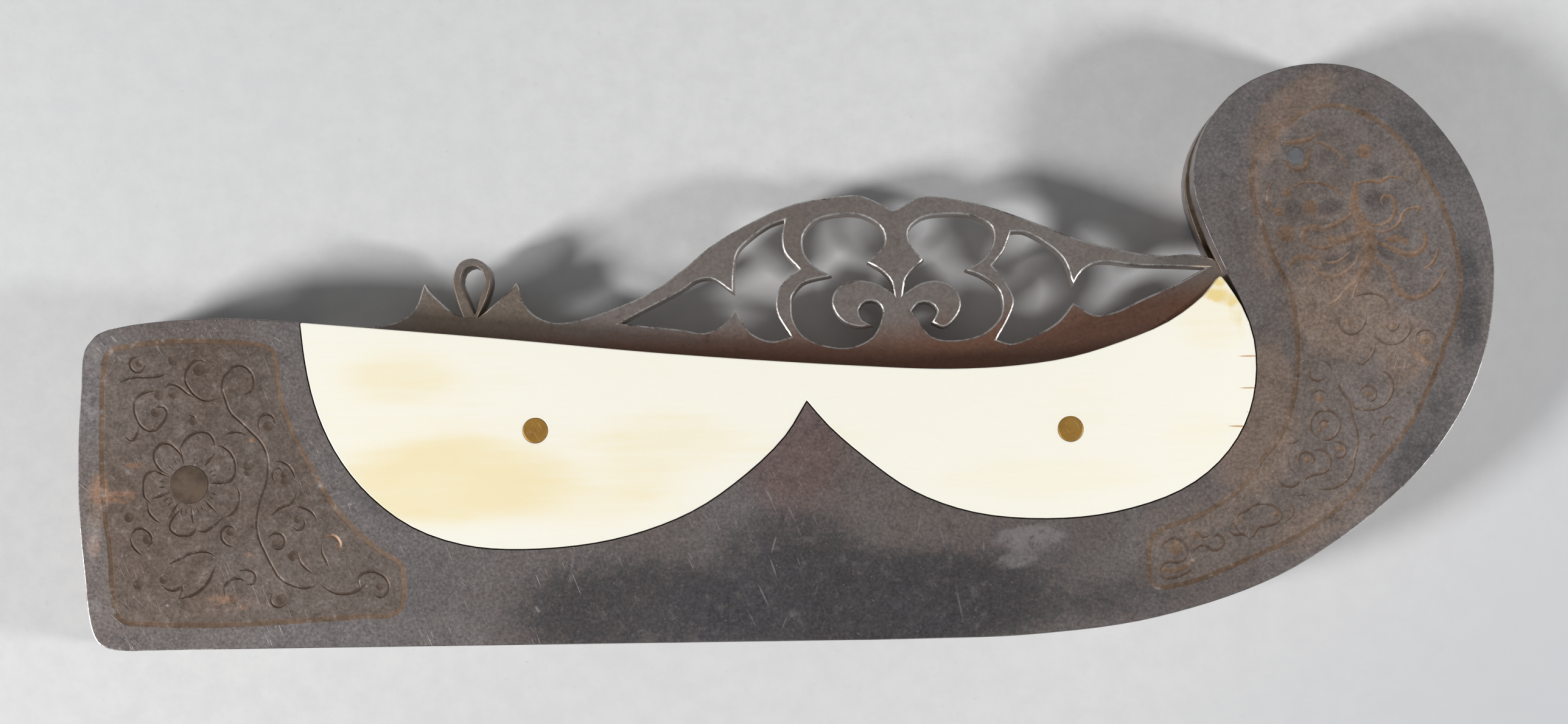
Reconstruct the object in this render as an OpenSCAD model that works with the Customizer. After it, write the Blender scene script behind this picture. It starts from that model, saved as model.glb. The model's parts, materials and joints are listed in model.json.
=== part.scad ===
// Folding knife with a pierced crest along the blade's back.
// It lies on its back plate: X runs from bolster to butt, Y up to the mouth, Z through the plates.
// Outlines are drawn at the length and height below and stretched to the sizes that are set.

/* [Overall] */
// Length of the closed knife, from the bolster's end to the curl
knife_length = 152; // [140:1:170]
// Height of the closed knife, from the keel to the top of the curl
knife_height = 61; // [56:1:68]

/* [Plates] */
// Thickness of each engraved outer plate
plate_t = 2.5; // [1.8:0.1:4]
// Thickness of each inner liner
liner_t = 0.8; // [0.5:0.1:1.5]
// Seam between the ivory and the plate around it
inlay_seam = 0.15; // [0.05:0.05:0.3]
// Extra gap beside the ivory's upper tip
tip_seam = 0.6; // [0:0.1:0.8]

/* [Blade] */
// Thickness of the blade and its crest
blade_t = 2.8; // [2:0.1:4]
// Free space between the blade and each liner
side_play = 0.1; // [0.05:0.05:0.3]
// Radius of the cutting edge's long curve
edge_r = 119; // [105:1:150]
// Thickness left at the cutting edge
edge_t = 0.2; // [0.1:0.05:0.5]
// Width of the ground bevel, from the edge up
bevel_w = 5; // [3:0.5:8]
// Unground stretch in front of the heel
ricasso_l = 3; // [1:0.5:6]

/* [Pivot and spring] */
// Diameter of the pivot pin
pivot_d = 4.1; // [3:0.1:6]
// Radial clearance of the blade on its pin
pivot_play = 0.05; // [0.02:0.01:0.1]
// Radial clearance of a riveted pin in the plates
rivet_play = 0.02; // [0.01:0.01:0.05]
// Distance from the pivot to each flat of the tang
flat_d = 10.4; // [9:0.1:10.8]
// Radius of the tang's round end
tang_r = 11; // [10.9:0.1:11.6]
// Length of the tang's lower flat in front of the pivot
kick_l = 7.9; // [6:0.1:9]
// Gap between the tang and the spring at rest
spring_gap = 0.1; // [0.05:0.05:0.3]
// Gap between the opened blade's shoulder and the spring's free end
stop_gap = 0.15; // [0.1:0.05:0.5]
// Gap between the spring's rear end and the spacer
joint_gap = 0.1; // [0.05:0.05:0.3]
// Space between the blade's tip and the spacer
tip_play = 0.7; // [0.4:0.1:1.5]

/* [Rivets] */
// Diameter of the ivory's brass pins
scale_pin_d = 2.7; // [2:0.1:3.5]
// Diameter of the hidden rivets through spring and spacer
hidden_rivet_d = 2.4; // [1.6:0.1:3]
// Diameter of the rivet that shows in the curl
curl_rivet_d = 1.8; // [1.4:0.1:2.6]

/* [Lifting loop] */
// Width of the loop's strip, across the blade
loop_w = 3.4; // [2.8:0.1:4.5]
// Depth of the loop's seat in the crest
loop_seat = 1.2; // [0.8:0.1:1.8]

/* [Hidden] */
slot_t = blade_t + 2 * side_play;
side_t = plate_t + liner_t;
knife_t = 2 * side_t + slot_t;
through = 1;
wall_step = 2;
fine_step = 0.7;
round_fn = 48;

// A smooth curve through the given points, without its last point, so that curves chain
function between(a, b, ta, tb, t) = a + (b - a) * (t - ta) / (tb - ta);
function spacing(a, b) = sqrt(norm(b - a));
function bend(a, b, c) = abs((b - a).x * (c - b).y - (b - a).y * (c - b).x);
function on_curve(a, b, c, d, share) =
    let(
        t1 = spacing(a, b),
        t2 = t1 + spacing(b, c),
        t3 = t2 + spacing(c, d),
        t = t1 + (t2 - t1) * share,
        ab = between(a, b, 0, t1, t),
        bc = between(b, c, t1, t2, t),
        cd = between(c, d, t2, t3, t)
    )
    between(between(ab, bc, 0, t2, t), between(bc, cd, t1, t3, t), t1, t2, t);
function with_ends(p) =
    let(last = len(p) - 1)
    concat([2 * p[0] - p[1]], p, [2 * p[last] - p[last - 1]]);
function smooth(p, step) =
    let(q = with_ends(p))
    [
        for (i = [1 : len(p) - 1])
            let(
                straight = bend(q[i - 1], q[i], q[i + 1]) + bend(q[i], q[i + 1], q[i + 2]) < 0.01,
                n = straight ? 1 : ceil(norm(q[i + 1] - q[i]) / step)
            )
            for (k = [0 : n - 1]) on_curve(q[i - 1], q[i], q[i + 1], q[i + 2], k / n)
    ];
function drawn(curves, step) = [for (c = curves) each smooth(c, step)];

// Moves each point of a counter-clockwise outline outwards by its own distance
function unit(v) = v / norm(v);
function moved(p, away) =
    let(n = len(p))
    [
        for (i = [0 : n - 1])
            let(
                before = unit(p[i] - p[(i + n - 1) % n]),
                after = unit(p[(i + 1) % n] - p[i]),
                along = unit(before + after)
            )
            p[i] + away[i] / max(0.4, along * before) * [along.y, -along.x]
    ];

// Handle, counter-clockwise from the corner between bolster and mouth
mouth_left = [-52.1, 4.5];
hook_tip = [47.4, 8.4];
bolster_curve = [
    mouth_left, [-56, 4.9], [-61.5, 5.1], [-67, 4.9], [-71.2, 4.4], [-74.1, 3.6], [-75.3, 2.1],
    [-75.7, -2.3], [-75.95, -9], [-75.8, -16], [-75.1, -23], [-74.5, -27.6], [-73.6, -29.7],
    [-71.6, -30.4], [-66, -30.45],
];
keel_curve = [
    [-66, -30.45], [-40, -30.45], [-10, -30.45], [14, -30.4], [26, -30.1], [39, -28.5],
    [52, -24.3], [62, -18], [69, -11.3], [73.6, -3.6], [75.6, 4.5], [75.6, 11.5], [74, 17.5],
    [71, 22.7], [66.9, 27.3], [62.4, 29.8], [58, 30.5], [53.6, 29.9], [49.4, 28], [46.4, 24.9],
    [44.6, 21], [44.3, 17.4], [45.4, 13.2], hook_tip,
];
mouth_curve = [
    hook_tip, [46.6, 7.5], [45.2, 5.8], [41.2, 2.9], [36, 0.8], [30.8, -0.7], [25, -1.5],
    [17.8, -1.75], [7.4, -1.2], [-12.2, 0.4], [-31.8, 2.5], mouth_left,
];
handle_drawing = drawn([bolster_curve, keel_curve, mouth_curve], wall_step);
low = [min([for (p = handle_drawing) p.x]), min([for (p = handle_drawing) p.y])];
high = [max([for (p = handle_drawing) p.x]), max([for (p = handle_drawing) p.y])];

// A point of the drawing at the knife's own size, from the middle of the handle's outline
function at(p) = [
    ((p.x - low.x) / (high.x - low.x) - 0.5) * knife_length,
    ((p.y - low.y) / (high.y - low.y) - 0.5) * knife_height,
];
function placed(points) = [for (p = points) at(p)];
function chain(curves, step) = placed(drawn(curves, step));
handle_outline = placed(handle_drawing);

// Where the pins stand, first in the drawing and then on the knife
pivot_drawn = [-63.9, -12.8];
scale_pin_left_drawn = [-26.6, -7.6];
scale_pin_right_drawn = [30.5, -8.4];
rivet_middle_drawn = [-14, -27.3];
rivet_rear_drawn = [34, -25.8];
rivet_butt_drawn = [63, -8];
rivet_curl_drawn = [55.2, 20.5];
pivot = at(pivot_drawn);
scale_pin_left = at(scale_pin_left_drawn);
scale_pin_right = at(scale_pin_right_drawn);
rivet_middle = at(rivet_middle_drawn);
rivet_rear = at(rivet_rear_drawn);
rivet_butt = at(rivet_butt_drawn);
rivet_curl = at(rivet_curl_drawn);

// Opening in the outer plate for the ivory: two lobes that meet in a cusp, open at the mouth
cusp = [2.5, -5.1];
left_lobe = [
    mouth_left, [-51.6, 0.5], [-50.9, -3], [-49.6, -6.9], [-47.5, -10.8], [-44.4, -14.5],
    [-40, -17.8], [-34.5, -19.8], [-28, -20.4], [-18.4, -19.5], [-10, -16.7], [-4, -12.7],
    [0.2, -8.7], cusp,
];
right_lobe = [
    cusp, [4.7, -7.7], [8.6, -11.2], [13.6, -14.8], [20, -17.2], [27.8, -18], [35, -17.4],
    [42, -15.2], [46.2, -12.2], [49, -8.3], [50.3, -3.9], [50.3, 0.8], [49.2, 4.5], hook_tip,
];
above_mouth = [hook_tip, [40, 8], [-40, 8]];
opening_outline = concat(chain([left_lobe, right_lobe], wall_step), placed(above_mouth));
tip_reach = 5;
scale_edge = moved(opening_outline, [
    for (p = opening_outline)
        -inlay_seam - tip_seam * max(0, 1 - norm(p - at(hook_tip)) / tip_reach)
]);

// Blade, counter-clockwise from under the pivot, closed; the edge's circle cuts off both overruns
heel_point = [-46.2, -20.4];
tip_point = [52.9, 6.2];
past_heel = heel_point + [0.7, -0.5];
past_tip = tip_point + [1.5, -1];
horn_left = [-39.1, 8.8];
horn_right = [-29.05, 8.8];
notch_left = [-34.9, 5];
notch_right = [-33.2, 5];
shoulder = [-53.7, -0.8];
crest_curves = [
    [past_tip, [49.8, 8.3], [46.9, 9.9], [44.1, 10.5], [41.2, 10.4], [36.9, 11.1],
        [32.5, 12.3], [26.8, 14.6], [22.4, 16.2], [18.3, 17.2], [15.6, 17.45], [13.8, 16.8],
        [12.2, 16], [10.6, 16.8], [8.4, 17.65], [5.1, 17.45], [1.1, 16.8], [-3.6, 14.8],
        [-7.6, 12.5], [-11, 9.8], [-14.3, 7.5], [-18, 5.9], [-22.6, 4.5], [-25, 4.35],
        [-27.2, 5.3], [-28.4, 6.8], [-28.75, 8.2], horn_right],
    [horn_right, [-29.6, 8.1], [-31, 6.9], [-32.4, 5.7], notch_right],
    [notch_right, notch_left],
    [notch_left, [-36.2, 5.8], [-37.6, 7], [-38.7, 8.1], horn_left],
    [horn_left, [-39.4, 8.1], [-39.9, 6.6], [-41, 5.3], [-43, 4.5], [-46, 4.1], [-49.5, 3.4],
        [-52.4, 1.6], shoulder],
];
choil = [[-54.7, -20.9], [-52.6, -19.5], [-49.1, -19.2], past_heel];
heel = at(heel_point);
tip = at(tip_point);
shoulder_x = at(shoulder).x;
below_edge = 12;
blade_outline = concat(
    [[pivot.x, pivot.y - flat_d], [pivot.x + kick_l, pivot.y - flat_d]],
    chain([choil], fine_step),
    placed([past_heel, past_heel - [0, below_edge], past_tip - [0, below_edge]]),
    chain(crest_curves, fine_step),
    [[shoulder_x, pivot.y + flat_d], [pivot.x, pivot.y + flat_d]]
);

// The edge is an arc of one circle through heel and tip
chord = tip - heel;
edge_centre = (heel + tip) / 2
    + [-chord.y, chord.x] / norm(chord) * sqrt(edge_r * edge_r - chord * chord / 4);
heel_angle = atan2(heel.y - edge_centre.y, heel.x - edge_centre.x);
tip_angle = atan2(tip.y - edge_centre.y, tip.x - edge_centre.x);
grind_start = heel_angle + ricasso_l / edge_r * 180 / PI;
grind_sweep = tip_angle - grind_start + 4;
tip_r = norm(tip - pivot);

// Pierced holes of the crest, each a chain of curves between its points and teeth
hole_left = [
    [[-17.7, 4.1], [-15.8, 5.1], [-13.2, 6.4], [-11, 7.5], [-9.4, 8.6], [-7.8, 8.8], [-5.3, 7.1]],
    [[-5.3, 7.1], [-5.3, 9.2], [-4.8, 11.7], [-3.2, 13.3], [-1.2, 14.6], [0.3, 15.1]],
    [[0.3, 15.1], [0, 13.4], [0.2, 11.6], [1.8, 9.7]],
    [[1.8, 9.7], [0.5, 8.7], [-0.6, 7.2], [-0.7, 5], [0.8, 2.3]],
    [[0.8, 2.3], [-1.2, 1.85], [-3.5, 2.8], [-5.2, 5.4]],
    [[-5.2, 5.4], [-6.4, 3.9], [-8.5, 2.9], [-11, 3.3], [-14.3, 3.7], [-17.7, 4.1]],
];
scroll_left = [
    [[5.35, 8.9], [3.6, 9.9], [2.4, 11.5], [2.4, 13.5], [3.8, 15], [6.6, 15.6], [9, 15.3],
        [10.9, 13.9], [11.1, 12.2], [9.2, 10.3]],
    [[9.2, 10.3], [10.8, 9.3], [11.8, 8.1], [12.05, 6.8]],
    [[12.05, 6.8], [10.4, 7.9], [8, 8.35], [5.9, 7.5], [5.3, 5.8], [6.3, 4], [8.1, 3.25],
        [9.8, 3.4]],
    [[9.8, 3.4], [8.6, 4], [8.25, 5.1], [9, 6], [10.2, 5.9], [10.8, 5], [10.45, 3.4]],
    [[10.45, 3.4], [9.6, 2.1], [7.4, 1.1], [4.8, 1.25], [2.3, 2.3], [1.1, 4.2], [1, 6.7]],
    [[1, 6.7], [2.2, 8.1], [5.35, 8.9]],
];
scroll_right = [
    [[15.4, 10.5], [14.1, 11.9], [13.8, 13.7], [15.2, 15], [18, 15.4], [20.8, 15.1],
        [22.8, 13.9], [22.9, 12.1], [21.8, 10.4], [19.8, 9.3]],
    [[19.8, 9.3], [21.8, 8.4], [23.5, 6.8], [23.6, 4.3], [21.8, 2.4], [18.7, 1.65],
        [16.1, 2.1], [14, 4.9]],
    [[14, 4.9], [14.7, 5.7], [15.9, 5.75], [16.7, 4.9], [16.1, 3.6]],
    [[16.1, 3.6], [17.4, 3.05], [18.6, 3.9], [19.35, 5.4], [18.8, 7.2], [17, 8.15], [15, 7.9],
        [13.1, 6.8]],
    [[13.1, 6.8], [13.5, 8.6], [15.4, 10.5]],
];
hole_right = [
    [[22.8, 9.7], [24.1, 11.3], [24.9, 13.3]],
    [[24.9, 13.3], [26.2, 13.3], [28.6, 12], [30.5, 10.2], [31.5, 7.3]],
    [[31.5, 7.3], [32.5, 8.9], [34.3, 9.8], [38.3, 9.4], [42.5, 9.2], [45.8, 9]],
    [[45.8, 9], [43.2, 7.6], [38.9, 5.7], [36, 4.4], [33.7, 4.1], [31.45, 5.5]],
    [[31.45, 5.5], [29.8, 3.5], [27, 1.9], [24.6, 1.15], [23.1, 1.6]],
    [[23.1, 1.6], [24.4, 3.8], [25.1, 5.8], [24.3, 7.7], [22.8, 9.7]],
];

// Loop between the horns, a strip bent into a drop
foot_left = [-34.8, notch_left.y];
foot_right = [-33.3, notch_right.y];
loop_outer = [
    [foot_left, [-35.5, 7], [-35.9, 9.2], [-35.2, 11], [-33.8, 11.5], [-32.3, 10.8],
        [-31.8, 9.2], [-32.3, 7.1], foot_right],
    [foot_right, foot_left],
];
loop_inner = [
    [[-33.65, 5.4], [-33.5, 5.4], [-33, 7], [-32.45, 8.9], [-32.8, 10.2], [-33.8, 10.7],
        [-34.8, 10.2], [-35.1, 9], [-34.5, 7.4], [-33.65, 5.4]],
];
function loop_foot(above) = [
    at(foot_left) + [0, above],
    at(foot_left) - [0, loop_seat],
    at(foot_right) - [0, loop_seat],
    at(foot_right) + [0, above],
];

// Spring's upper side, from its free end to the rear
free_end_x = 2 * pivot.x - shoulder_x + stop_gap;
spring_top_y = pivot.y - flat_d - spring_gap;
spring_rear = [58, -12];
spring_top = [
    [-48, -25.6], [-40, -26.3], [-28, -26.1], [-19, -24.4], [-8, -23.9], [8, -24.1], [24, -23.8],
    [36, -22.2], [47, -18.4], spring_rear,
];
below_keel = 28;
spring_outline = concat(
    [[free_end_x, spring_top_y - below_keel], [free_end_x, spring_top_y]],
    [[pivot.x + kick_l, spring_top_y]],
    chain([spring_top], wall_step),
    placed([spring_rear, spring_rear - [0, below_keel]])
);

module slab(z, t) {
    translate([0, 0, z]) linear_extrude(t) children();
}

module rod(centre, d, z, t) {
    translate([centre.x, centre.y, z]) cylinder(h = t, d = d, $fn = round_fn);
}

module bore(centre, d, play) {
    rod(centre, d + 2 * play, -through, knife_t + 2 * through);
}

// One outer plate with its opening and its rivet holes
module cover(z) {
    color("dimgray")
    difference() {
        slab(z, plate_t)
            difference() {
                polygon(handle_outline);
                polygon(opening_outline);
            }
        bore(pivot, pivot_d, rivet_play);
        bore(rivet_curl, curl_rivet_d, rivet_play);
    }
}

// One inner plate, whole behind the ivory
module liner(z) {
    color("gray")
    difference() {
        slab(z, liner_t) polygon(handle_outline);
        bore(pivot, pivot_d, rivet_play);
        bore(rivet_curl, curl_rivet_d, rivet_play);
        for (p = [scale_pin_left, scale_pin_right]) bore(p, scale_pin_d, rivet_play);
        for (p = [rivet_middle, rivet_rear, rivet_butt]) bore(p, hidden_rivet_d, rivet_play);
    }
}

// One ivory slab, cut to the mouth and let into the plate
module grip_scale(z) {
    color("ivory")
    difference() {
        slab(z, plate_t)
            intersection() {
                polygon(handle_outline);
                polygon(scale_edge);
            }
        for (p = [scale_pin_left, scale_pin_right]) bore(p, scale_pin_d, rivet_play);
    }
}

module scale_pin(centre, z) {
    color("darkgoldenrod") rod(centre, scale_pin_d, z, side_t);
}

module front_cover() { cover(knife_t - plate_t); }
module back_cover() { cover(0); }
module front_liner() { liner(side_t + slot_t); }
module back_liner() { liner(plate_t); }
module front_scale() { grip_scale(knife_t - plate_t); }
module back_scale() { grip_scale(0); }
module front_scale_pin_left() { scale_pin(scale_pin_left, knife_t - side_t); }
module front_scale_pin_right() { scale_pin(scale_pin_right, knife_t - side_t); }
module back_scale_pin_left() { scale_pin(scale_pin_left, 0); }
module back_scale_pin_right() { scale_pin(scale_pin_right, 0); }

// Spring along the keel; its free end lies under the tang
module back_spring() {
    color("slategray")
    difference() {
        slab(side_t, slot_t)
            intersection() {
                polygon(handle_outline);
                polygon(spring_outline);
                translate(pivot) circle(r = tip_r + tip_play - joint_gap, $fn = 5 * round_fn);
            }
        for (p = [rivet_middle, rivet_rear]) bore(p, hidden_rivet_d, rivet_play);
    }
}

// Crescent that fills the curl outside the path of the blade's tip
module butt_spacer() {
    color("slategray")
    difference() {
        slab(side_t, slot_t)
            difference() {
                polygon(handle_outline);
                translate(pivot) circle(r = tip_r + tip_play, $fn = 5 * round_fn);
            }
        bore(rivet_butt, hidden_rivet_d, rivet_play);
        bore(rivet_curl, curl_rivet_d, rivet_play);
    }
}

module pivot_pin() {
    color("dimgray") rod(pivot, pivot_d, 0, knife_t);
}

module hidden_rivet(centre) {
    color("gray") rod(centre, hidden_rivet_d, plate_t, knife_t - 2 * plate_t);
}

module spring_rivet_middle() { hidden_rivet(rivet_middle); }
module spring_rivet_rear() { hidden_rivet(rivet_rear); }
module butt_rivet_lower() { hidden_rivet(rivet_butt); }
module butt_rivet_upper() {
    color("silver") rod(rivet_curl, curl_rivet_d, 0, knife_t);
}

module blade_shape() {
    union() {
        difference() {
            polygon(blade_outline);
            // What lies in front of the heel and outside the edge's circle
            difference() {
                translate([heel.x - through, heel.y - edge_r]) square(3 * edge_r);
                translate(edge_centre) circle(r = edge_r, $fn = 5 * round_fn);
            }
            for (hole = [hole_left, scroll_left, scroll_right, hole_right])
                polygon(chain(hole, fine_step));
            polygon(loop_foot(through));
        }
        // Round end of the tang between its two flats
        intersection() {
            translate(pivot) circle(r = tang_r, $fn = 2 * round_fn);
            translate([pivot.x - 2 * tang_r, pivot.y - flat_d]) square([2 * tang_r, 2 * flat_d]);
        }
    }
}

// Wedge turned round the edge's centre, which grinds one face down to the edge
module grind() {
    slope = (blade_t - edge_t) / 2 / bevel_w;
    over = 1;
    translate(edge_centre)
        rotate_extrude(angle = grind_sweep, start = grind_start, $fn = 5 * round_fn)
        polygon([
            [edge_r - bevel_w, blade_t / 2],
            [edge_r + over, edge_t / 2 - over * slope],
            [edge_r + over, blade_t],
            [edge_r - bevel_w, blade_t],
        ]);
}

module blade() {
    color("rosybrown")
    difference() {
        slab(side_t + side_play, blade_t) blade_shape();
        bore(pivot, pivot_d, pivot_play);
        for (face = [0, 1])
            translate([0, 0, knife_t / 2]) mirror([0, 0, face]) grind();
    }
}

module lifting_loop() {
    color("gray")
    union() {
        slab((knife_t - loop_w) / 2, loop_w)
            difference() {
                polygon(chain(loop_outer, fine_step));
                polygon(chain(loop_inner, fine_step));
            }
        slab(side_t + side_play, blade_t) polygon(loop_foot(0));
    }
}

front_cover();
back_cover();
front_liner();
back_liner();
front_scale();
back_scale();
front_scale_pin_left();
front_scale_pin_right();
back_scale_pin_left();
back_scale_pin_right();
back_spring();
butt_spacer();
pivot_pin();
spring_rivet_middle();
spring_rivet_rear();
butt_rivet_lower();
butt_rivet_upper();
blade();
lifting_loop();
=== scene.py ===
# %% [markdown]
# # A folding knife with a pierced crest
# The knife lies closed on its back plate. Two engraved steel plates, two thin liners, ivory let
# into the plates, a long spring and one pivot pin make the handle, and the crest is the back of
# the folded blade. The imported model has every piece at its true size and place, so this lesson
# gives them soft rims, engraving and real surfaces, then lights them.

import json
import math

import bpy
from mathutils import Matrix, Vector

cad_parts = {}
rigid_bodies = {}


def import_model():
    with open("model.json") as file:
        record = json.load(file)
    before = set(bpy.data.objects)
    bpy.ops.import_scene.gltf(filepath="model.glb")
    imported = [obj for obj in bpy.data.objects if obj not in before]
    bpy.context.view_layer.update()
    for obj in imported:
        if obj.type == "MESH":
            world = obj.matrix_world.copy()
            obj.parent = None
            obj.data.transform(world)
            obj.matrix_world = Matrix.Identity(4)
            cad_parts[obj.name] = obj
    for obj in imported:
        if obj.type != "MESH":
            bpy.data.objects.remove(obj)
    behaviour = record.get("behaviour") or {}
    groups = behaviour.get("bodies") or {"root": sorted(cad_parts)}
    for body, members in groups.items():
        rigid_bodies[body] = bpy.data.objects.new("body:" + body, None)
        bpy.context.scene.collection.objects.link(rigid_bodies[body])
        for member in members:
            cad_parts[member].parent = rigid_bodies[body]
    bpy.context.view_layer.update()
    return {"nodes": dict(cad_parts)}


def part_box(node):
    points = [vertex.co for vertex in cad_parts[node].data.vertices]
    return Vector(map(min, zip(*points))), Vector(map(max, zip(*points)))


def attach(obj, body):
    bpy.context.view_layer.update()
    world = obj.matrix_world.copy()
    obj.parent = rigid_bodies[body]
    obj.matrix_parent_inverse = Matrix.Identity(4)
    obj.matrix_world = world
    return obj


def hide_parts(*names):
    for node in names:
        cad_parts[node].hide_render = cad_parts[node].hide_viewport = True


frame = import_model()
MM = 0.001
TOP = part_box("front_cover")[1].z / MM
print("nodes", len(frame["nodes"]), "thickness in mm", round(TOP, 3))

# %% [markdown]
# Operators act on what is selected, so one helper selects the next piece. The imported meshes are
# loose triangles with stored shading. They stay as they are: a piece that gets a new finish is a
# copy without that shading, with its doubled corners merged and its flat faces joined again,
# because a bevel needs the real edges.

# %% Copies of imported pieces
SAME_PLACE = 1e-6
NEARLY_FLAT = math.radians(0.2)


def pick(piece):
    bpy.ops.object.select_all(action="DESELECT")
    piece.select_set(True)
    bpy.context.view_layer.objects.active = piece


def copy_of(piece, name):
    pick(piece)
    bpy.ops.object.duplicate()
    copy = bpy.context.object
    copy.name = name
    copy.data.name = name
    return copy


def on_whole_mesh(*steps):
    """Run mesh operators, each with its settings, on all of the picked piece."""
    bpy.ops.object.mode_set(mode="EDIT")
    bpy.ops.mesh.select_all(action="SELECT")
    for operator, settings in steps:
        operator(**settings)
    bpy.ops.object.mode_set(mode="OBJECT")


def solid_copy(node, name):
    piece = copy_of(frame["nodes"][node], name)
    bpy.ops.object.parent_clear(type="CLEAR_KEEP_TRANSFORM")
    for key in list(piece.keys()):
        del piece[key]
    piece.data.materials.clear()
    bpy.ops.mesh.customdata_custom_splitnormals_clear()
    on_whole_mesh(
        (bpy.ops.mesh.remove_doubles, {"threshold": SAME_PLACE}),
        (bpy.ops.mesh.dissolve_limited, {"angle_limit": NEARLY_FLAT}),
    )
    return piece


print("copies can be made")

# %% [markdown]
# A finish is a sum of masks and colours, so it is easier to read as arithmetic than as a drawn
# node tree. The class below holds one socket. Adding or multiplying two of them adds a Math
# node, and `node` adds any other kind, with its settings first and its sockets after them. Wear
# sits in certain places, so `marks` adds up a list of soft ovals.

# %% Sockets as numbers
SOFT_EDGE = 0.65  # share of a mark that fades
ALL_DEPTHS = 1e6  # reach of a mark through the thickness
SCRATCH_DRIFT = 0.3
SCRATCH_EDGE = 0.06


class Wire:
    def __init__(self, tree, socket):
        self.tree = tree
        self.socket = socket

    def node(self, kind, settings, inputs, out=0):
        made = self.tree.nodes.new(kind)
        for name, value in settings.items():
            setattr(made, name, value)
        for name, value in inputs.items():
            if isinstance(value, Wire):
                self.tree.links.new(value.socket, made.inputs[name])
            elif isinstance(value, tuple) and made.inputs[name].type == "RGBA":
                made.inputs[name].default_value = (*value[:3], 1)
            else:
                made.inputs[name].default_value = value
        return Wire(self.tree, made.outputs[out])

    def math(self, operation, other):
        return self.node("ShaderNodeMath", {"operation": operation}, {0: self, 1: other})

    def __add__(self, other):
        return self.math("ADD", other)

    def __sub__(self, other):
        return self.math("SUBTRACT", other)

    def __mul__(self, other):
        return self.math("MULTIPLY", other)

    def vector(self, operation, other=(0, 0, 0), scale=1.0, out=0):
        inputs = {0: self, 1: other, 3: scale}
        return self.node("ShaderNodeVectorMath", {"operation": operation}, inputs, out)

    def limit(self, low, high, top=1.0):
        """Rise smoothly from 0 at low to top at high."""
        inputs = {0: self, 1: low, 2: high, 4: top}
        return self.node("ShaderNodeMapRange", {"interpolation_type": "SMOOTHSTEP"}, inputs)

    def noise(self, scale, detail, roughness, warp=0.0):
        inputs = {"Vector": self, "Scale": scale, "Detail": detail, "Roughness": roughness}
        return self.node("ShaderNodeTexNoise", {}, {**inputs, "Distortion": warp})

    def near(self, x, y, reach_x, reach_y, turn=0.0, strength=1.0):
        """A soft oval mark: placed, turned and scaled to a ball that a round gradient reads."""
        place = {
            "Vector": self,
            "Location": (x, y, 0),
            "Rotation": (0, 0, math.radians(turn)),
            "Scale": (reach_x, reach_y, ALL_DEPTHS),
        }
        ball = self.node("ShaderNodeMapping", {"vector_type": "TEXTURE"}, place)
        ball = self.node("ShaderNodeTexGradient", {"gradient_type": "SPHERICAL"}, {0: ball}, 1)
        return ball.limit(0.0, SOFT_EDGE, strength)

    def marks(self, places):
        total = 0.0
        for x, y, half_length, half_width, turn, strength in places:
            total = self.near(x, y, half_length, half_width, turn, strength) + total
        return total

    def scratches(self, turn, length, width, rarity):
        """Noise that is stretched far along one direction."""
        inputs = {"Vector": self, "Angle": math.radians(-turn)}
        along = self.node("ShaderNodeVectorRotate", {"rotation_type": "Z_AXIS"}, inputs)
        along = along.vector("MULTIPLY", (1 / length, 1 / width, SCRATCH_DRIFT))
        return along.noise(1.0, 1.0, 0.5).limit(rarity, rarity + SCRATCH_EDGE)

    def colours(self, low, high):
        """Mix two colours, plain ones or sockets, by this mask."""
        return self.node("ShaderNodeMix", {"data_type": "RGBA"}, {0: self, 6: low, 7: high}, 2)

    def mix(self, other, share):
        return share.colours(self, other)


print("sockets ready")

# %% [markdown]
# Every finish has one Principled shader and starts from the place on the piece in millimetres.
# That is read from Object coordinates and not from an unwrapped map, because all pieces keep
# their place in their mesh, so one list of marks fits them all.

# %% A new finish
def finish_named(name, **fixed):
    material = bpy.data.materials.new(name)
    material.use_nodes = True
    tree = material.node_tree
    shader = tree.nodes["Principled BSDF"]
    for socket, value in fixed.items():
        shader.inputs[socket.replace("_", " ")].default_value = value
    where = Wire(tree, tree.nodes.new("ShaderNodeTexCoord").outputs["Object"])
    return material, shader, where.vector("SCALE", scale=1 / MM)


def connect(shader, colour, roughness, height, distance, strength):
    """Plug colour, roughness and a bump, its height in mm, into the shader."""
    inputs = {"Height": height, "Distance": distance * MM, "Strength": strength}
    bump = height.node("ShaderNodeBump", {}, inputs)
    for socket, wire in (("Base Color", colour), ("Roughness", roughness), ("Normal", bump)):
        wire.tree.links.new(wire.socket, shader.inputs[socket])


print("finishes can be named")

# %% [markdown]
# The plates are old hand-finished steel: mottled all over, with a blue-black belt on the keel, a
# brown flush in the middle, rust at the bolster's end and in the curl, and single scratches.
# They could be painted, but marks added up in the shader stay sharp. The lists hold x, y, half
# length, half width, turn and strength, in millimetres and degrees.

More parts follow.
